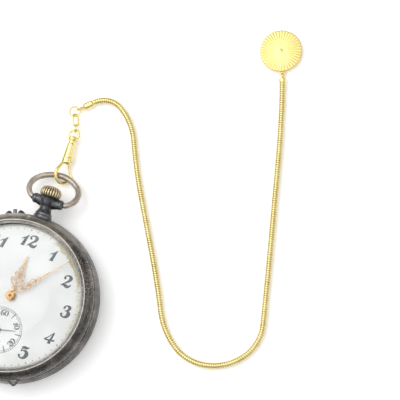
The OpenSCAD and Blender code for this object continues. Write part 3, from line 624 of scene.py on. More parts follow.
def glass():
    """Thin clear crystal: what is behind shows straight through, with a reflection that grows at the edge and faint hairlines."""
    m = Mat("crystal_glass")
    fr = m.n("ShaderNodeFresnel")
    fr.inputs["IOR"].default_value = 1.35
    mp = m.n("ShaderNodeMapping")
    m.link(m.mm, mp.inputs["Vector"])
    mp.inputs["Rotation"].default_value = (0, 0, 0.5)
    mp.inputs["Scale"].default_value = (3.0, 0.14, 1.0)
    s1 = m.ramp(m.noise(1.2, 2, 0.6, vec=mp.outputs[0]), 0.69, 0.72)
    haze = m.noise(0.25, 4, 0.6)
    f = m.math("ADD", m.math("MULTIPLY", fr.outputs[0], 0.42), m.math("ADD", m.math("MULTIPLY", s1, 0.05), m.ramp(haze, 0.35, 0.75, 0.0, 0.006)), clamp=True)
    gl = m.n("ShaderNodeBsdfGlossy")
    gl.inputs["Color"].default_value = (0.95, 0.97, 1.0, 1)
    m.val(gl.inputs["Roughness"], m.math("ADD", m.math("MULTIPLY", s1, 0.3), m.ramp(haze, 0.3, 0.7, 0.02, 0.09)))
    tr = m.n("ShaderNodeBsdfTransparent")
    tr.inputs["Color"].default_value = (0.975, 0.98, 0.978, 1)
    mx = m.n("ShaderNodeMixShader")
    m.link(f, mx.inputs[0])
    m.link(tr.outputs[0], mx.inputs[1])
    m.link(gl.outputs[0], mx.inputs[2])
    m.link(mx.outputs[0], m.out.inputs[0])
    return m.m


M_GLASS = glass()


def ruby():
    m = Mat("ruby")
    n = m.noise(4.0, 3, 0.5)
    c = m.mix(m.ramp(n, 0.35, 0.65), (0.45, 0.02, 0.08), (0.70, 0.06, 0.18))
    m.bsdf(c, m.ramp(n, 0.3, 0.7, 0.06, 0.14), 0.0, m.bump(n, 0.05, 0.01), Coat_Weight=0.6, Coat_Roughness=0.04, Specular_IOR_Level=0.8)
    return m.m


M_RUBY = ruby()

FINISH = {
    "case_metal": M_CASE, "bow_metal": M_BOW, "gilt": M_GILT, "chain_gold": M_GOLD, "plate_brass": M_PLATE,
    "bright_steel": M_STEEL, "blued_steel": M_BLUED, "ruby": M_RUBY, "enamel": M_ENAMEL, "crystal_glass": M_GLASS,
    "worn_brass": M_CROWN, "dark_hand": M_DARKHAND,
}
SPECIAL = {"bezel": M_BEZEL, "pendant": M_PENDANT, "back_cover": M_BACK, "bow_screws": M_PENDANT, "setting_pin": M_PENDANT}
for s in frame["record"]["subparts"]:
    ob = NODES[s["node"]]
    mat = SPECIAL.get(s["node"], FINISH[s["material_slot"]])
    if not ob.material_slots:
        ob.data.materials.append(mat)
    for k in ob.material_slots:
        k.material = mat

# ------------------------------------------------------------------ case: bezel and band as smooth worn shells

HX, FHZ, BHZ = -25.45, 9.05, 3.25


def wobble(amp, seed):
    ph = [random.Random(seed + k).uniform(0, 6.28) for k in range(6)]

    def f(a, r, z):
        return amp * (0.5 * math.sin(3 * a + ph[0]) * math.sin(z * 1.3 + ph[1]) + 0.3 * math.sin(7 * a + ph[2] + z) + 0.2 * math.sin(13 * a + ph[3] + 2 * z))

    return f


bez = [(21.55, 9.06), (24.05, 9.06), (24.3, 9.25), (24.36, 9.6), (24.15, 10.3), (23.6, 11.1), (22.85, 11.78), (22.3, 12.1), (21.97, 12.12), (21.9, 12.0), (21.9, 11.58), (21.22, 11.56), (21.22, 10.9), (21.55, 10.62)]
body = smooth_profile(bez[1:9], 5, closed=False) + round_corners([bez[9], bez[10], bez[11], bez[12], bez[13], bez[0]], 0.06)
parts = [revolve(body, 256, wobble(0.018, 3))]
parts.append(cyl(0.5, (HX, -2.53, FHZ), (HX, 2.53, FHZ), 32, 0.08))
tab = [(HX + 0.05, -2.45, FHZ + 0.1), (HX + 1.9, -2.45, FHZ + 0.1), (HX + 1.9, 2.45, FHZ + 0.1), (HX + 0.05, 2.45, FHZ + 0.1)]
parts.append(([p for p in tab] + [(p[0], p[1], p[2] + 0.34) for p in tab], [(3, 2, 1, 0), (4, 5, 6, 7), (0, 1, 5, 4), (1, 2, 6, 5), (2, 3, 7, 6), (3, 0, 4, 7)]))
# thumb lip: a low rounded nib standing out of the rim
lip_a = rad(-68.8)
nv, nf, LN, LM = [], [], 22, 12
for i in range(LN):
    u = i / (LN - 1)
    w = 2.9 * (2 * u - 1)
    reach = 23.7 + 2.35 * math.exp(-((w / 1.75) ** 2) * 1.1)
    for j in range(LM):
        b = 2 * math.pi * j / LM
        nv.append(((reach + 22.6) / 2 + (reach - 22.6) / 2 * math.cos(b), w, 9.62 + 0.34 * math.sin(b)))
nf = grid_faces(LN, LM, True, False) + [tuple(range(LM))[::-1], tuple((LN - 1) * LM + j for j in range(LM))]
parts.append(transform((nv, nf), Matrix.Rotation(lip_a, 4, "Z")))
v, f = join(parts)
o = make("bezel_shell", v, f, M_BEZEL, "front", sharp=50)
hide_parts("bezel")

# band of the case: a slightly barrelled wall with worn seams, its hinge knuckles and the shoulders beside the setting pin
out = smooth_profile([(24.3, 3.3), (24.72, 3.62), (24.9, 4.3), (24.86, 5.3), (24.7, 6.6), (24.5, 7.8), (24.36, 8.45), (24.12, 8.9), (23.9, 8.98)], 4, closed=False)
parts = [revolve([(20.7, 3.3)] + out + [(21.4, 8.98), (21.4, 8.72), (20.7, 8.72)], 256, lambda a, r, z: wobble(0.02, 9)(a, r, z) if r > 24 else 0)]
# a fine raised bead where the band meets the back and the bezel
for zr, rr in ((3.62, 24.74), (8.5, 24.36)):
    parts.append(torus(rr, 0.11, Matrix.Translation((0, 0, zr)), 256, 8))
for sg in (-1, 1):
    parts.append(cyl(0.5, (HX, sg * 3.95 - 1.25, FHZ), (HX, sg * 3.95 + 1.25, FHZ), 28, 0.08))
    parts.append(cyl(0.5, (HX, sg * 6.6 - 1.2, BHZ), (HX, sg * 6.6 + 1.2, BHZ), 28, 0.08))
    for y0_, w_, z0_ in ((sg * 3.95, 1.22, FHZ - 0.5), (sg * 6.6, 1.17, BHZ + 0.1)):
        bx = [(x, y, z) for z in (z0_, z0_ + 0.4) for x, y in ((HX, y0_ - w_), (HX + 1.9, y0_ - w_), (HX + 1.9, y0_ + w_), (HX, y0_ + w_))]
        parts.append((bx, [(3, 2, 1, 0), (4, 5, 6, 7), (0, 1, 5, 4), (1, 2, 6, 5), (2, 3, 7, 6), (3, 0, 4, 7)]))
for sg in (-1, 1):
    lobe, LN = [], 18
    for i in range(LN):
        u = i / (LN - 1)
        rr = 0.98 * math.sqrt(max(0.0, 1 - (max(0.0, u - 0.35) / 0.66) ** 2.2))
        for j in range(20):
            b = 2 * math.pi * j / 20
            lobe.append((23.4 + 2.35 * u, sg * 1.72 + rr * math.cos(b) * (0.95 if math.cos(b) * sg < 0 else 1.9 - 0.9 * u), 6.4 + rr * math.sin(b) * 1.25))
    lf = grid_faces(LN, 20) + [tuple(range(20))[::-1], tuple((LN - 1) * 20 + j for j in range(20))]
    parts.append(transform((lobe, lf), Matrix.Rotation(rad(109.4), 4, "Z")))
v, f = join(parts)
o = make("case_band", v, f, M_CASE, "case", sharp=45)
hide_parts("case_middle")

# ------------------------------------------------------------------ pendant and bow


def tube(pts, rs, n=24, flat=None):
    """A round bar along a line of points; rs is its radius at each, flat is not used."""
    P = [Vector(p) for p in pts]
    v = []
    prev = None
    for i, p in enumerate(P):
        t = (P[min(i + 1, len(P) - 1)] - P[max(i - 1, 0)]).normalized()
        if prev is None:
            a = t.orthogonal().normalized()
        else:
            a = (prev - t * prev.dot(t)).normalized()
        prev = a
        b = t.cross(a)
        for j in range(n):
            w = 2 * math.pi * j / n
            v.append(tuple(p + (a * math.cos(w) + b * math.sin(w)) * rs[i]))
    f = grid_faces(len(P), n) + [tuple(range(n))[::-1], tuple((len(P) - 1) * n + j for j in range(n))]
    return v, f


neck = [(0, 24.2), (2.75, 24.2), (2.78, 24.75), (2.7, 25.15), (2.5, 25.38), (2.5, 25.8), (2.4, 26.05), (2.16, 26.35), (1.9, 26.9), (1.8, 27.55), (1.9, 28.1), (2.25, 28.7), (2.45, 29.6), (2.3, 30.4), (2.05, 30.95), (0, 31.0)]
nk = disc_revolve([neck[0]] + smooth_profile(neck[1:-1], 3, closed=False) + [neck[-1]], 72)
nk = transform(nk, Matrix.Translation((0, 0, 6.4)) @ Matrix(((1, 0, 0, 0), (0, 0, 1, 0), (0, -1, 0, 0), (0, 0, 0, 1))))
saddle = []
xs = np.linspace(-3.44, 3.44, 33)
sp_, sr_ = [], []
for x in xs:
    u = abs(x) / 3.44
    sp_.append((x, 29.30 + 0.45 * u * u, 6.4))
    sr_.append(1.72 + 0.16 * math.cos(math.pi * u) - 0.10 * u)
e0, e1 = sp_[0], sp_[-1]
sp_ = [(e0[0] - 0.03, e0[1], e0[2])] + sp_ + [(e1[0] + 0.03, e1[1], e1[2])]
sr_ = [sr_[0] - 0.12] + sr_ + [sr_[-1] - 0.12]
v, f = join([nk, tube(sp_, sr_, 40)])
o = make("pendant_saddle", v, f, M_PENDANT, "case", sharp=55)
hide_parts("pendant")

tilt = rad(-27.75)
side_c, side_r, top_c, top_r = (3.2, 4.0), 4.2, (0.0, 0.52), 8.93
loc = []
for a in np.linspace(-68, 47.4, 26):
    loc.append((side_c[0] + side_r * math.cos(rad(a)), side_c[1] + side_r * math.sin(rad(a))))
x1, y1 = loc[-1]
a0 = math.atan2(y1 - top_c[1], x1 - top_c[0])
for a in np.linspace(a0, math.pi - a0, 26)[1:]:
    loc.append((top_c[0] + top_r * math.cos(a), top_c[1] + top_r * math.sin(a)))
loc += [(-x, y) for x, y in loc[24::-1]]
n = len(loc)
rs = []
for i, (x, y) in enumerate(loc):
    rs.append(0.90 - 0.10 * max(0, 1 - y / 2.2) + 0.02 * math.sin(i * 0.7))


def bow_pt(x, y, z=0.0):
    return (x, 29.7 + y * math.cos(tilt) - z * math.sin(tilt), 6.4 + y * math.sin(tilt) + z * math.cos(tilt))


wire = tube([bow_pt(x * 1.012, y * 1.05 if y > 0 else y) for x, y in loc], rs, 28)
eyes = []
for sgn in (-1, 1):
    prof = [(3.5, 0.0), (3.5, 1.30), (3.56, 1.42), (3.75, 1.47), (4.15, 1.44), (4.45, 1.32), (4.66, 1.1), (4.74, 0.8), (4.74, 0.0)]
    p = disc_revolve([(r, x) for x, r in prof], 48)
    M = Matrix.Translation((0, 29.7, 6.4)) @ Matrix(((0, 0, sgn, 0), (1, 0, 0, 0), (0, sgn, 0, 0), (0, 0, 0, 1)))
    eyes.append(transform(p, M))
v, f = join([wire] + eyes)
o = make("bow_wire", v, f, M_BOW, "bow", sharp=60)
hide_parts("bow")

# ------------------------------------------------------------------ crown

FL = 24
prof = smooth_profile([(2.35, 31.08), (2.85, 31.2), (3.12, 31.6), (3.22, 32.15), (3.14, 32.75), (2.86, 33.35), (2.3, 33.85), (1.6, 34.14), (0.9, 34.26), (0.3, 34.3)], 3, closed=False)
seg = FL * 12
v, g = [], []
for r, y in prof:
    depth = 0.36 * min(1, max(0, (r - 1.1) / 1.2)) * min(1, max(0.25, (y - 31.06) / 0.35))
    for i in range(seg):
        a = 2 * math.pi * i / seg
        c = abs(math.cos(FL * a / 2))
        d = (1 - c) ** 1.6
        rr = r - depth * d
        v.append((rr * math.cos(a), y, 6.4 + rr * math.sin(a)))
        # painted shade: how deep each point sits in a flute
        g.append(min(1.0, d * depth / 0.2))
rows = len(prof)
f = grid_faces(rows, seg)
v += [(0, 31.08, 6.4), (0, 34.305, 6.4)]
g += [0.8, 0.0]
f += [(i, (i + 1) % seg, rows * seg) for i in range(seg)] + [((rows - 1) * seg + (i + 1) % seg, (rows - 1) * seg + i, rows * seg + 1) for i in range(seg)]
o = make("crown_fluted", v, f, M_CROWN, "crown_and_stem", attrs={"groove_shade": g})
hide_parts("crown")

# ------------------------------------------------------------------ dial furniture


def dial_z(x, y):
    r = math.hypot(x, y)
    if math.hypot(x, y + 10.3) < 6.95:
        return 9.80
    return float(np.interp(r, [0, 12, 20.4, 21.1], [10.1, 10.02, 9.85, 9.7]))


heavy[:] = [1.12, 0.12]
GLYPH = {
    "1": [[[(0.85, 1.8), (0.12, 1.0), (-0.95, 0.3), (-1.02, 0.06), (-0.12, 0.32), (-0.52, -1.45), (-0.78, -1.75), (0.62, -1.75), (0.5, -1.4), (0.9, 1.3)]]],
    "2": [
        stroke([(-0.78, 0.75), (-0.95, 1.2), (-0.35, 1.66), (0.45, 1.55), (0.88, 0.95), (0.55, 0.2), (-0.25, -0.5), (-1.15, -1.3)], [0.5, 0.3, 0.22, 0.5, 0.82, 0.55, 0.3, 0.16]),
        stroke([(-1.2, -1.38), (-0.62, -1.12), (0.05, -1.32), (0.75, -1.5), (1.3, -1.1), (1.42, -0.7)], [0.12, 0.42, 0.72, 0.6, 0.34, 0.12]),
    ],
    "3": [
        stroke([(-0.72, 0.95), (-0.55, 1.5), (0.05, 1.7), (0.7, 1.35), (0.78, 0.85), (0.3, 0.3), (-0.25, 0.2)], [0.5, 0.24, 0.3, 0.72, 0.66, 0.3, 0.14]),
        stroke([(-0.2, 0.22), (0.5, 0.12), (1.0, -0.5), (0.78, -1.3), (0.05, -1.66), (-0.75, -1.45), (-0.98, -0.95)], [0.14, 0.4, 0.95, 0.8, 0.36, 0.3, 0.55]),
    ],
    "4": [
        [[(0.92, 1.8), (0.62, 1.55), (-0.15, -1.5), (-0.38, -1.75), (0.9, -1.75), (0.72, -1.45), (0.98, 1.2)]],
        stroke([(0.8, 1.62), (-0.2, 0.4), (-1.3, -0.62)], [0.14, 0.16, 0.2]),
        stroke([(-1.35, -0.68), (-0.5, -0.74), (0.5, -0.7), (1.4, -0.62)], [0.2, 0.34, 0.3, 0.42]),
    ],
    "5": [
        stroke([(-0.62, 1.38), (0.0, 1.5), (0.6, 1.42), (1.15, 1.72)], [0.55, 0.6, 0.5, 0.12]),
        stroke([(-0.66, 1.5), (-0.78, 0.9), (-0.84, 0.25)], [0.16, 0.14, 0.14]),
        stroke([(-0.84, 0.3), (-0.1, 0.62), (0.72, 0.3), (1.02, -0.5), (0.68, -1.32), (-0.05, -1.66), (-0.75, -1.45), (-1.0, -0.98)], [0.12, 0.3, 0.7, 0.98, 0.74, 0.34, 0.26, 0.52]),
    ],
    "6": [
        stroke([(0.82, 1.3), (0.35, 1.66), (-0.4, 1.2), (-0.88, 0.1), (-0.75, -1.05), (0.0, -1.66), (0.72, -1.2), (0.86, -0.45), (0.35, 0.12), (-0.4, -0.1)], [0.45, 0.22, 0.4, 0.9, 0.7, 0.28, 0.5, 0.62, 0.26, 0.14]),
    ],
    "7": [
        stroke([(-1.0, 0.95), (-0.8, 1.5), (-0.1, 1.45), (0.55, 1.3), (1.12, 1.72)], [0.14, 0.4, 0.66, 0.5, 0.12]),
        stroke([(1.1, 1.7), (0.5, 0.7), (0.05, -0.5), (-0.1, -1.6)], [0.12, 0.32, 0.78, 1.0]),
    ],
    "8": [
        stroke([(0.0, 0.16), (-0.66, 0.85), (-0.1, 1.64), (0.66, 1.15), (0.35, 0.4)], [0.4, 0.5, 0.22, 0.4, 0.26], closed=True),
        stroke([(0.1, 0.25), (0.92, -0.6), (0.1, -1.62), (-0.88, -1.0), (-0.5, -0.1)], [0.5, 0.74, 0.24, 0.56, 0.3], closed=True),
    ],
    "0": [stroke([(0.0, 1.66), (-0.82, 0.75), (-0.85, -0.7), (0.0, -1.66), (0.84, -0.75), (0.82, 0.75)], [0.2, 0.68, 0.74, 0.2, 0.78, 0.7], closed=True)],
}
heavy[:] = [1.0, 0.03]
GLYPH["9"] = [moved(gp, ang=math.pi) for gp in GLYPH["6"]]


def number(text, cx, cy, s=1.0, ang=0.0, gap=2.75, slant=0.10):
    out = []
    n = len(text)
    for i, ch in enumerate(text):
        off = (i - (n - 1) / 2) * gap * s
        if n == 2 and ch == "1":
            off += (0.18 if i == 0 else -0.05) * s
        for gp in GLYPH[ch]:
            gp = [[(x + slant * y, y) for x, y in lo] for lo in gp]
            gp = [[(x * s + off, y * s) for x, y in lo] for lo in gp]
            out.append(moved(gp, 1.0, ang, cx, cy))
    return out


DROT = 2.2  # the dial sits a couple of degrees round in its case
groups = []
for h in (12, 1, 2, 3, 4, 5, 7, 8, 9, 10, 11):
    a = rad(90 - h * 30 + DROT)
    groups += number(str(h), 16.85 * math.cos(a), 16.85 * math.sin(a), 1.0, rad(DROT))
loops_mesh("dial_numerals", groups, 0.0, 0.05, 0.008, M_INK, "case", fit=dial_z)

groups = []
for k in range(60):
    a = rad(90 - k * 6 + DROT)
    rr = 0.30 if k % 5 == 0 else 0.20
    cx, cy = 19.95 * math.cos(a), 19.95 * math.sin(a)
    groups.append([[(cx + rr * math.cos(t), cy + rr * math.sin(t)) for t in np.linspace(0, 2 * math.pi, 13)[:-1]]])
loops_mesh("minute_dots", groups, 0.0, 0.07, 0.02, M_DOT, "case", fit=dial_z)

SX, SY = 0.0, -10.3
groups = []
for k in range(60):
    a = rad(90 - k * 6 + DROT)
    r0, r1, w = (6.14, 6.62, 0.075)
    if k % 10 == 5:
        r0, r1, w = (4.7, 6.62, 0.19)
    elif k % 5 == 0:
        r0, r1, w = (6.05, 6.62, 0.15)
    t, n = (math.cos(a), math.sin(a)), (-math.sin(a), math.cos(a))
    w0 = w * 0.55
    groups.append([[(SX + t[0] * r0 + n[0] * w0, SY + t[1] * r0 + n[1] * w0), (SX + t[0] * r1 + n[0] * w, SY + t[1] * r1 + n[1] * w), (SX + t[0] * r1 - n[0] * w, SY + t[1] * r1 - n[1] * w), (SX + t[0] * r0 - n[0] * w0, SY + t[1] * r0 - n[1] * w0)]])
for R, w in ((6.66, 0.06), (6.10, 0.05)):
    c = np.linspace(0, 2 * math.pi, 97)[:-1]
    groups.append([[(SX + (R + w) * math.cos(t), SY + (R + w) * math.sin(t)) for t in c], [(SX + (R - w) * math.cos(t), SY + (R - w) * math.sin(t)) for t in c]])
SMALL = True
for k in (60, 10, 20, 30, 40, 50):
    a = rad(90 - k * 6 + DROT)
    turn = a - math.pi / 2
    if k in (20, 30, 40):
        turn += math.pi
    groups += number(str(k), SX + 5.12 * math.cos(a), SY + 5.12 * math.sin(a), 0.47, turn, gap=2.5, slant=0.05)
loops_mesh("seconds_track", groups, 0.0, 0.036, 0.006, M_TRACK, "case", fit=lambda x, y: 9.803)

# ------------------------------------------------------------------ hands: pierced scrollwork


def mirror(loops):
    return [[(x, -y) for x, y in lo] for lo in loops]


def circle(cx, cy, r, n=40):
    return [(cx + r * math.cos(t), cy + r * math.sin(t)) for t in np.linspace(0, 2 * math.pi, n + 1)[:-1]]


def both(pts, ws):
    s = stroke(pts, ws)
    return [s, mirror(s)]


heavy[:] = [0.72, 0.03]
hour = [[circle(0, 0, 1.5), circle(0, 0, 0.99)]]
hour.append(stroke([(1.35, 0), (2.2, 0), (3.0, 0), (4.2, 0)], [0.85, 0.46, 0.3, 0.18]))
hour += both([(1.9, 0.1), (2.3, 0.55), (2.75, 0.5), (2.6, 0.2)], [0.2, 0.24, 0.2, 0.14])
hour += both([(2.9, 0.05), (3.3, 0.75), (3.9, 1.5), (4.75, 1.95), (5.4, 1.6), (5.3, 1.05), (4.8, 0.95), (4.65, 1.3)], [0.14, 0.22, 0.26, 0.26, 0.26, 0.22, 0.18, 0.16])
hour += both([(3.6, 0.05), (4.3, 0.45), (5.2, 0.5), (6.0, 1.05), (6.75, 1.4), (7.3, 1.0), (7.1, 0.55), (6.6, 0.6)], [0.14, 0.2, 0.2, 0.24, 0.26, 0.24, 0.2, 0.16])
hour += both([(5.6, 0.1), (6.3, 0.25), (7.3, 0.3), (8.1, 0.72), (8.75, 0.5), (8.8, 0.12)], [0.14, 0.18, 0.18, 0.24, 0.24, 0.16])
hour += both([(8.6, 0.05), (9.1, 0.42), (9.7, 0.36), (10.1, 0.05)], [0.14, 0.2, 0.2, 0.14])
hour.append(stroke([(4.0, 0), (5.4, 0), (7.2, 0), (9.9, 0)], [0.18, 0.2, 0.16, 0.2]))
hour.append([[(9.9, 0.14), (10.5, 0.30), (12.5, 0.03), (12.5, -0.03), (10.5, -0.30), (9.9, -0.14)]])
minute = [[circle(0, 0, 1.2), circle(0, 0, 0.59)]]
minute.append(stroke([(1.1, 0), (1.9, 0), (2.6, 0), (4.0, 0)], [0.7, 0.4, 0.28, 0.18]))
minute += both([(2.3, 0.05), (2.9, 0.5), (3.7, 0.95), (4.4, 0.8), (4.35, 0.4), (3.9, 0.42)], [0.14, 0.2, 0.24, 0.24, 0.2, 0.14])
minute += both([(3.6, 0.1), (4.6, 0.25), (5.3, 0.85), (6.0, 1.1), (6.6, 0.75), (6.4, 0.35), (5.9, 0.4)], [0.14, 0.18, 0.22, 0.24, 0.24, 0.2, 0.14])
minute += both([(5.4, 0.1), (6.6, 0.2), (7.3, 0.7), (8.0, 0.88), (8.5, 0.5), (8.3, 0.2)], [0.14, 0.18, 0.22, 0.24, 0.22, 0.14])
minute += both([(7.6, 0.08), (8.7, 0.15), (9.3, 0.52), (9.9, 0.52), (10.3, 0.1)], [0.12, 0.16, 0.2, 0.2, 0.14])
minute.append(stroke([(3.8, 0), (6.0, 0), (8.4, 0), (10.3, 0)], [0.18, 0.18, 0.16, 0.18]))
minute.append([[(10.1, 0.12), (11.0, 0.25), (12.6, 0.17), (20.4, 0.045), (20.4, -0.045), (12.6, -0.17), (11.0, -0.25), (10.1, -0.12)]])


def turn_groups(gs, ang):
    return [moved(gp, ang=ang) for gp in gs]


o = loops_mesh("hour_hand_pierced", turn_groups(hour, rad(90 - 4.5)), 10.81, 0.17, 0.045, M_HAND, "hour_hand")
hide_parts("hour_hand")
o = loops_mesh("minute_hand_pierced", turn_groups(minute, rad(90 - 43)), 11.47, 0.17, 0.045, M_HAND, "minute_hand")
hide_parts("minute_hand")
# raised boss round the centre post
v, f = revolve(smooth_profile([(0.34, 11.50), (1.10, 11.50), (1.16, 11.57), (1.08, 11.63), (0.72, 11.64), (0.62, 11.70), (0.42, 11.70), (0.34, 11.64)], 4), 64)
make("minute_boss", v, f, M_HAND, "minute_hand")

v, f = disc_revolve([(0, 11.5), (0.27, 11.5), (0.27, 11.54), (0.2, 11.57), (0, 11.58)], 32)
make("centre_post_tip", v, f, M_DARKHAND, "centre_wheel")

# ------------------------------------------------------------------ snake chain

SEG = [[8.94, -74.593], [10.93, -33.707], [17, 6.2], [8.5, 0], [8.5, 0], [17, -3.9], [11, 27.1], [11, 45.3], [11, 39.5], [12, 54.8], [24, 0.8], [24, 0], [22.2, 4]]
FIRST = [0, 2, 4, 6, 8, 10, 11, 12, 13]
CZ, CR = 0.93, 0.9
POSE = [(1.76, 62.42, 42.0)]


def seg_end(L, a, d=None):
    a = rad(a)
    if d is not None:
        a, L = a * d / L, d
    if abs(a) < 1e-7:
        return L, 0.0, 0.0
    r = L / a
    return r * math.sin(a), r * (1 - math.cos(a)), a


for L, a in SEG:
    x, y, h = POSE[-1]
    ex, ey, _ = seg_end(L, a)
    c, t = math.cos(rad(h)), math.sin(rad(h))
    POSE.append((x + ex * c - ey * t, y + ex * t + ey * c, h + a))
START = np.cumsum([0] + [s[0] for s in SEG])


def path(s):
    """Point and heading (radians) on the chain's centre line at distance s."""
    if s < 0:
        x, y, h = POSE[0]
        return x + s * math.cos(rad(h)), y + s * math.sin(rad(h)), rad(h)
    i = min(int(np.searchsorted(START, s, side="right")) - 1, len(SEG) - 1)
    d = s - START[i]
    x, y, h = POSE[i]
    if d > SEG[i][0]:
        x, y, h = POSE[-1]
        d -= SEG[i][0]
        return x + d * math.cos(rad(h)), y + d * math.sin(rad(h)), rad(h)
    ex, ey, da = seg_end(SEG[i][0], SEG[i][1], max(d, 1e-9))
    c, t = math.cos(rad(h)), math.sin(rad(h))
    return x + ex * c - ey * t, y + ex * t + ey * c, rad(h) + da


PITCH = 0.66
U = [0.0, 0.07, 0.2, 0.38, 0.5, 0.62, 0.8, 0.93]
NS = 18


def ribs(s0, s1):
    """Interlocked rings of the chain from s0 to s1, as one ribbed skin, closed at its ends."""
    n0, n1 = round(s0 / PITCH), round(s1 / PITCH)
    v, g = [], []
    for k in range(n0, n1 + 1):
        for u in U if k < n1 else U[:1]:
            s = (k + u) * PITCH
            x, y, h = path(s)
            w = math.sin(math.pi * u) ** 0.5 if u else 0.0
            r = CR * (0.80 + 0.22 * w)
            nx, ny = -math.sin(h), math.cos(h)
            for j in range(NS):
                b = 2 * math.pi * (j + (0.5 if k % 2 else 0)) / NS
                v.append((x + nx * r * math.cos(b), y + ny * r * math.cos(b), CZ + r * math.sin(b)))
                # painted shade: darker in the gaps between rings and along the chain's sides
                g.append((1 - w) * (0.42 + 0.58 * math.cos(b) ** 2) + 0.16 * math.cos(b) ** 4)
    rows = len(v) // NS
    f = grid_faces(rows, NS) + [tuple(range(NS))[::-1], tuple((rows - 1) * NS + j for j in range(NS))]
    return v, f, g


ends = [START[FIRST[k]] for k in range(9)]
mids = [-0.2] + [(ends[k] + ends[k + 1]) / 2 for k in range(8)] + [ends[8] + 0.9]
for k in range(9):
    v, f, g = ribs(mids[k], mids[k + 1])
    o = make("snake_chain_%d" % (k + 1), v, f, M_CHAIN, None, attrs={"groove_shade": g})
    x0, y0, _ = path(max(ends[k] - (2.2 if k else 0.05), mids[k]))
    x1, y1, _ = path(min(ends[k] + (2.2 if k < 8 else 0.6), mids[k + 1]))
    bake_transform(o)
    if k < 8:
        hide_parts("chain_seg_%02d" % (k + 1))

# ------------------------------------------------------------------ lapel disc with engraved rays

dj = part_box("lapel_disc")
lo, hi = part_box("lapel_disc")
DX, DY = 50.2605, 93.0542
RAYS, DR = 40, 6.2
seg = RAYS * 4
ring_r = [0.0, 0.34, 0.40, 0.9, 1.5, 1.85, 2.0, 2.6, 3.4, 4.2, 5.0, 5.35, 5.55, 5.8, 6.02, 6.15, 6.2]
top = [1.27, 1.26, 1.21, 1.205, 1.20, 1.195, 1.19, 1.18, 1.165, 1.145, 1.125, 1.11, 1.10, 1.08, 1.04, 0.95, 0.80]
v, g = [], []
for r, z in list(zip(ring_r, top))[1:]:
    amp = float(np.interp(r, [1.9, 2.1, 5.2, 5.9, 6.2], [0, 0.05, 0.16, 0.15, 0.05]))
    for i in range(seg):
        ph = (i % 4) / 4
        tri = abs(2 * ph - 1)
        a = 2 * math.pi * i / seg
        rr = r - (0.06 * (1 - tri) if r > 6.1 else 0)
        v.append((rr * math.cos(a), rr * math.sin(a), z - amp * (1 - tri)))
        # painted shade: the engraved ray valleys darkened by their depth
        g.append((1 - tri) ** 1.5 * min(1.0, amp / 0.15) * 0.46)
nr = len(ring_r) - 1
for r, z in ((6.2, 0.45), (6.17, 0.18), (6.0, 0.03), (5.7, 0.0), (3.0, 0.0)):
    for i in range(seg):
        a = 2 * math.pi * i / seg
        v.append((r * math.cos(a), r * math.sin(a), z))
        g.append(0.0)
nr += 5
v += [(0, 0, 1.27), (0, 0, 0.0)]
g += [0.0, 0.0]
f = grid_faces(nr, seg)
f += [(nr * seg, i, (i + 1) % seg) for i in range(seg)] + [(nr * seg + 1, (nr - 1) * seg + (i + 1) % seg, (nr - 1) * seg + i) for i in range(seg)]
v = [(x + DX, y + DY, z + 0.35) for x, y, z in v]
lug = torus(0.55, 0.25, Matrix.Translation((DX + 6.9 * math.cos(rad(-68)), DY + 6.9 * math.sin(rad(-68)), 0.95)))
nlug = len(lug[0])
v, f = join([(v, f), lug])
o = make("lapel_disc_engraved", v, f, M_DISC, "lapel_disc", attrs={"groove_shade": g + [0.0] * nlug}, sharp=60)
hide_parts("lapel_disc")

# ------------------------------------------------------------------ camera, light, floor

az, el, roll = rad(-28.5689), rad(75.6474), rad(-43.3796)
fw = Vector((math.cos(el) * math.cos(az), math.cos(el) * math.sin(az), math.sin(el)))
rt = Vector((-math.sin(az), math.cos(az), 0))
up = fw.cross(rt)
R_ = math.cos(roll) * rt + math.sin(roll) * up
U_ = -math.sin(roll) * rt + math.cos(roll) * up
T = Vector((42.7624, 43.4236, 6.0)) * MM
cam = bpy.data.cameras.new("camera")
cam.sensor_width = 36
cam.lens = 36 * 600 / (400 / 3.4698)
cam.clip_start, cam.clip_end = 0.01, 20
co = bpy.data.objects.new("camera", cam)
bpy.context.scene.collection.objects.link(co)
co.matrix_world = Matrix.Translation(T + fw * 0.6) @ Matrix((R_, U_, fw)).transposed().to_4x4()
bpy.context.scene.camera = co


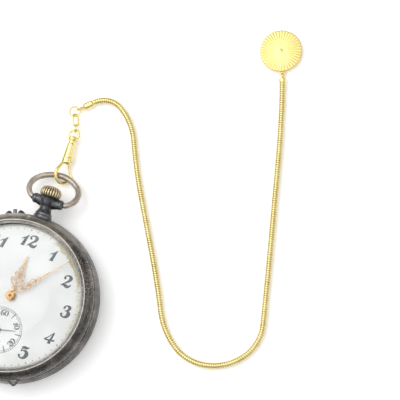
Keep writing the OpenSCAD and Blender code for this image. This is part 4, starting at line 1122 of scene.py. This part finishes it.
def area(name, direction, dist, size, power, color=(1, 1, 1), size_y=None):
    li = bpy.data.lights.new(name, "AREA")
    li.energy, li.color = power, color
    li.shape = "RECTANGLE"
    li.size, li.size_y = size, size_y or size
    ob = bpy.data.objects.new(name, li)
    bpy.context.scene.collection.objects.link(ob)
    d = Vector(direction).normalized()
    ob.location = Vector((0.03, 0.035, 0)) + d * dist
    ob.rotation_euler = d.to_track_quat("Z", "Y").to_euler()
    return ob


area("key", -R_ * 0.75 + U_ * 0.55 + fw * 0.9, 0.9, 0.7, 3.3)
area("overhead", Vector((0, 0, 1)), 1.1, 1.1, 2.9)
area("fill", R_ * 0.9 + U_ * 0.1 + fw * 0.55, 1.0, 0.5, 0.9, (1.0, 0.99, 0.97))

w = bpy.data.worlds.new("studio")
bpy.context.scene.world = w
w.use_nodes = True
t = w.node_tree
bg = t.nodes["Background"]
tc = t.nodes.new("ShaderNodeTexCoord")
sp = t.nodes.new("ShaderNodeSeparateXYZ")
t.links.new(tc.outputs["Generated"], sp.inputs[0])
cr = t.nodes.new("ShaderNodeValToRGB")
cr.color_ramp.elements[0].position = 0.0
cr.color_ramp.elements[0].color = (0.30, 0.29, 0.28, 1)
cr.color_ramp.elements[1].position = 0.75
cr.color_ramp.elements[1].color = (1.0, 1.0, 1.0, 1)
e = cr.color_ramp.elements.new(0.3)
e.color = (0.42, 0.42, 0.42, 1)
t.links.new(sp.outputs["Z"], cr.inputs[0])
t.links.new(cr.outputs[0], bg.inputs[0])
bg.inputs[1].default_value = 0.70

fm = Mat("pale_floor")
fn = fm.noise(0.02, 3, 0.5)
fm.bsdf(fm.mix(fm.ramp(fn, 0.3, 0.7), (0.93, 0.93, 0.93), (0.95, 0.95, 0.95)), 0.55, 0.0, Specular_IOR_Level=0.2, Emission_Color=(1.0, 1.0, 1.0, 1.0), Emission_Strength=0.22)
me = bpy.data.meshes.new("floor")
s = 3.0
zf = min(CAD_BOX[0][2], 0.0) - 0.00002
me.from_pydata([(-s, -s, zf), (s, -s, zf), (s, s, zf), (-s, s, zf)], [], [(0, 1, 2, 3)])
fl = bpy.data.objects.new("floor", me)
bpy.context.scene.collection.objects.link(fl)
me.materials.append(fm.m)

bpy.context.scene.view_settings.view_transform = "Standard"
bpy.context.scene.view_settings.look = "None"
bpy.context.scene.view_settings.exposure = 0.0
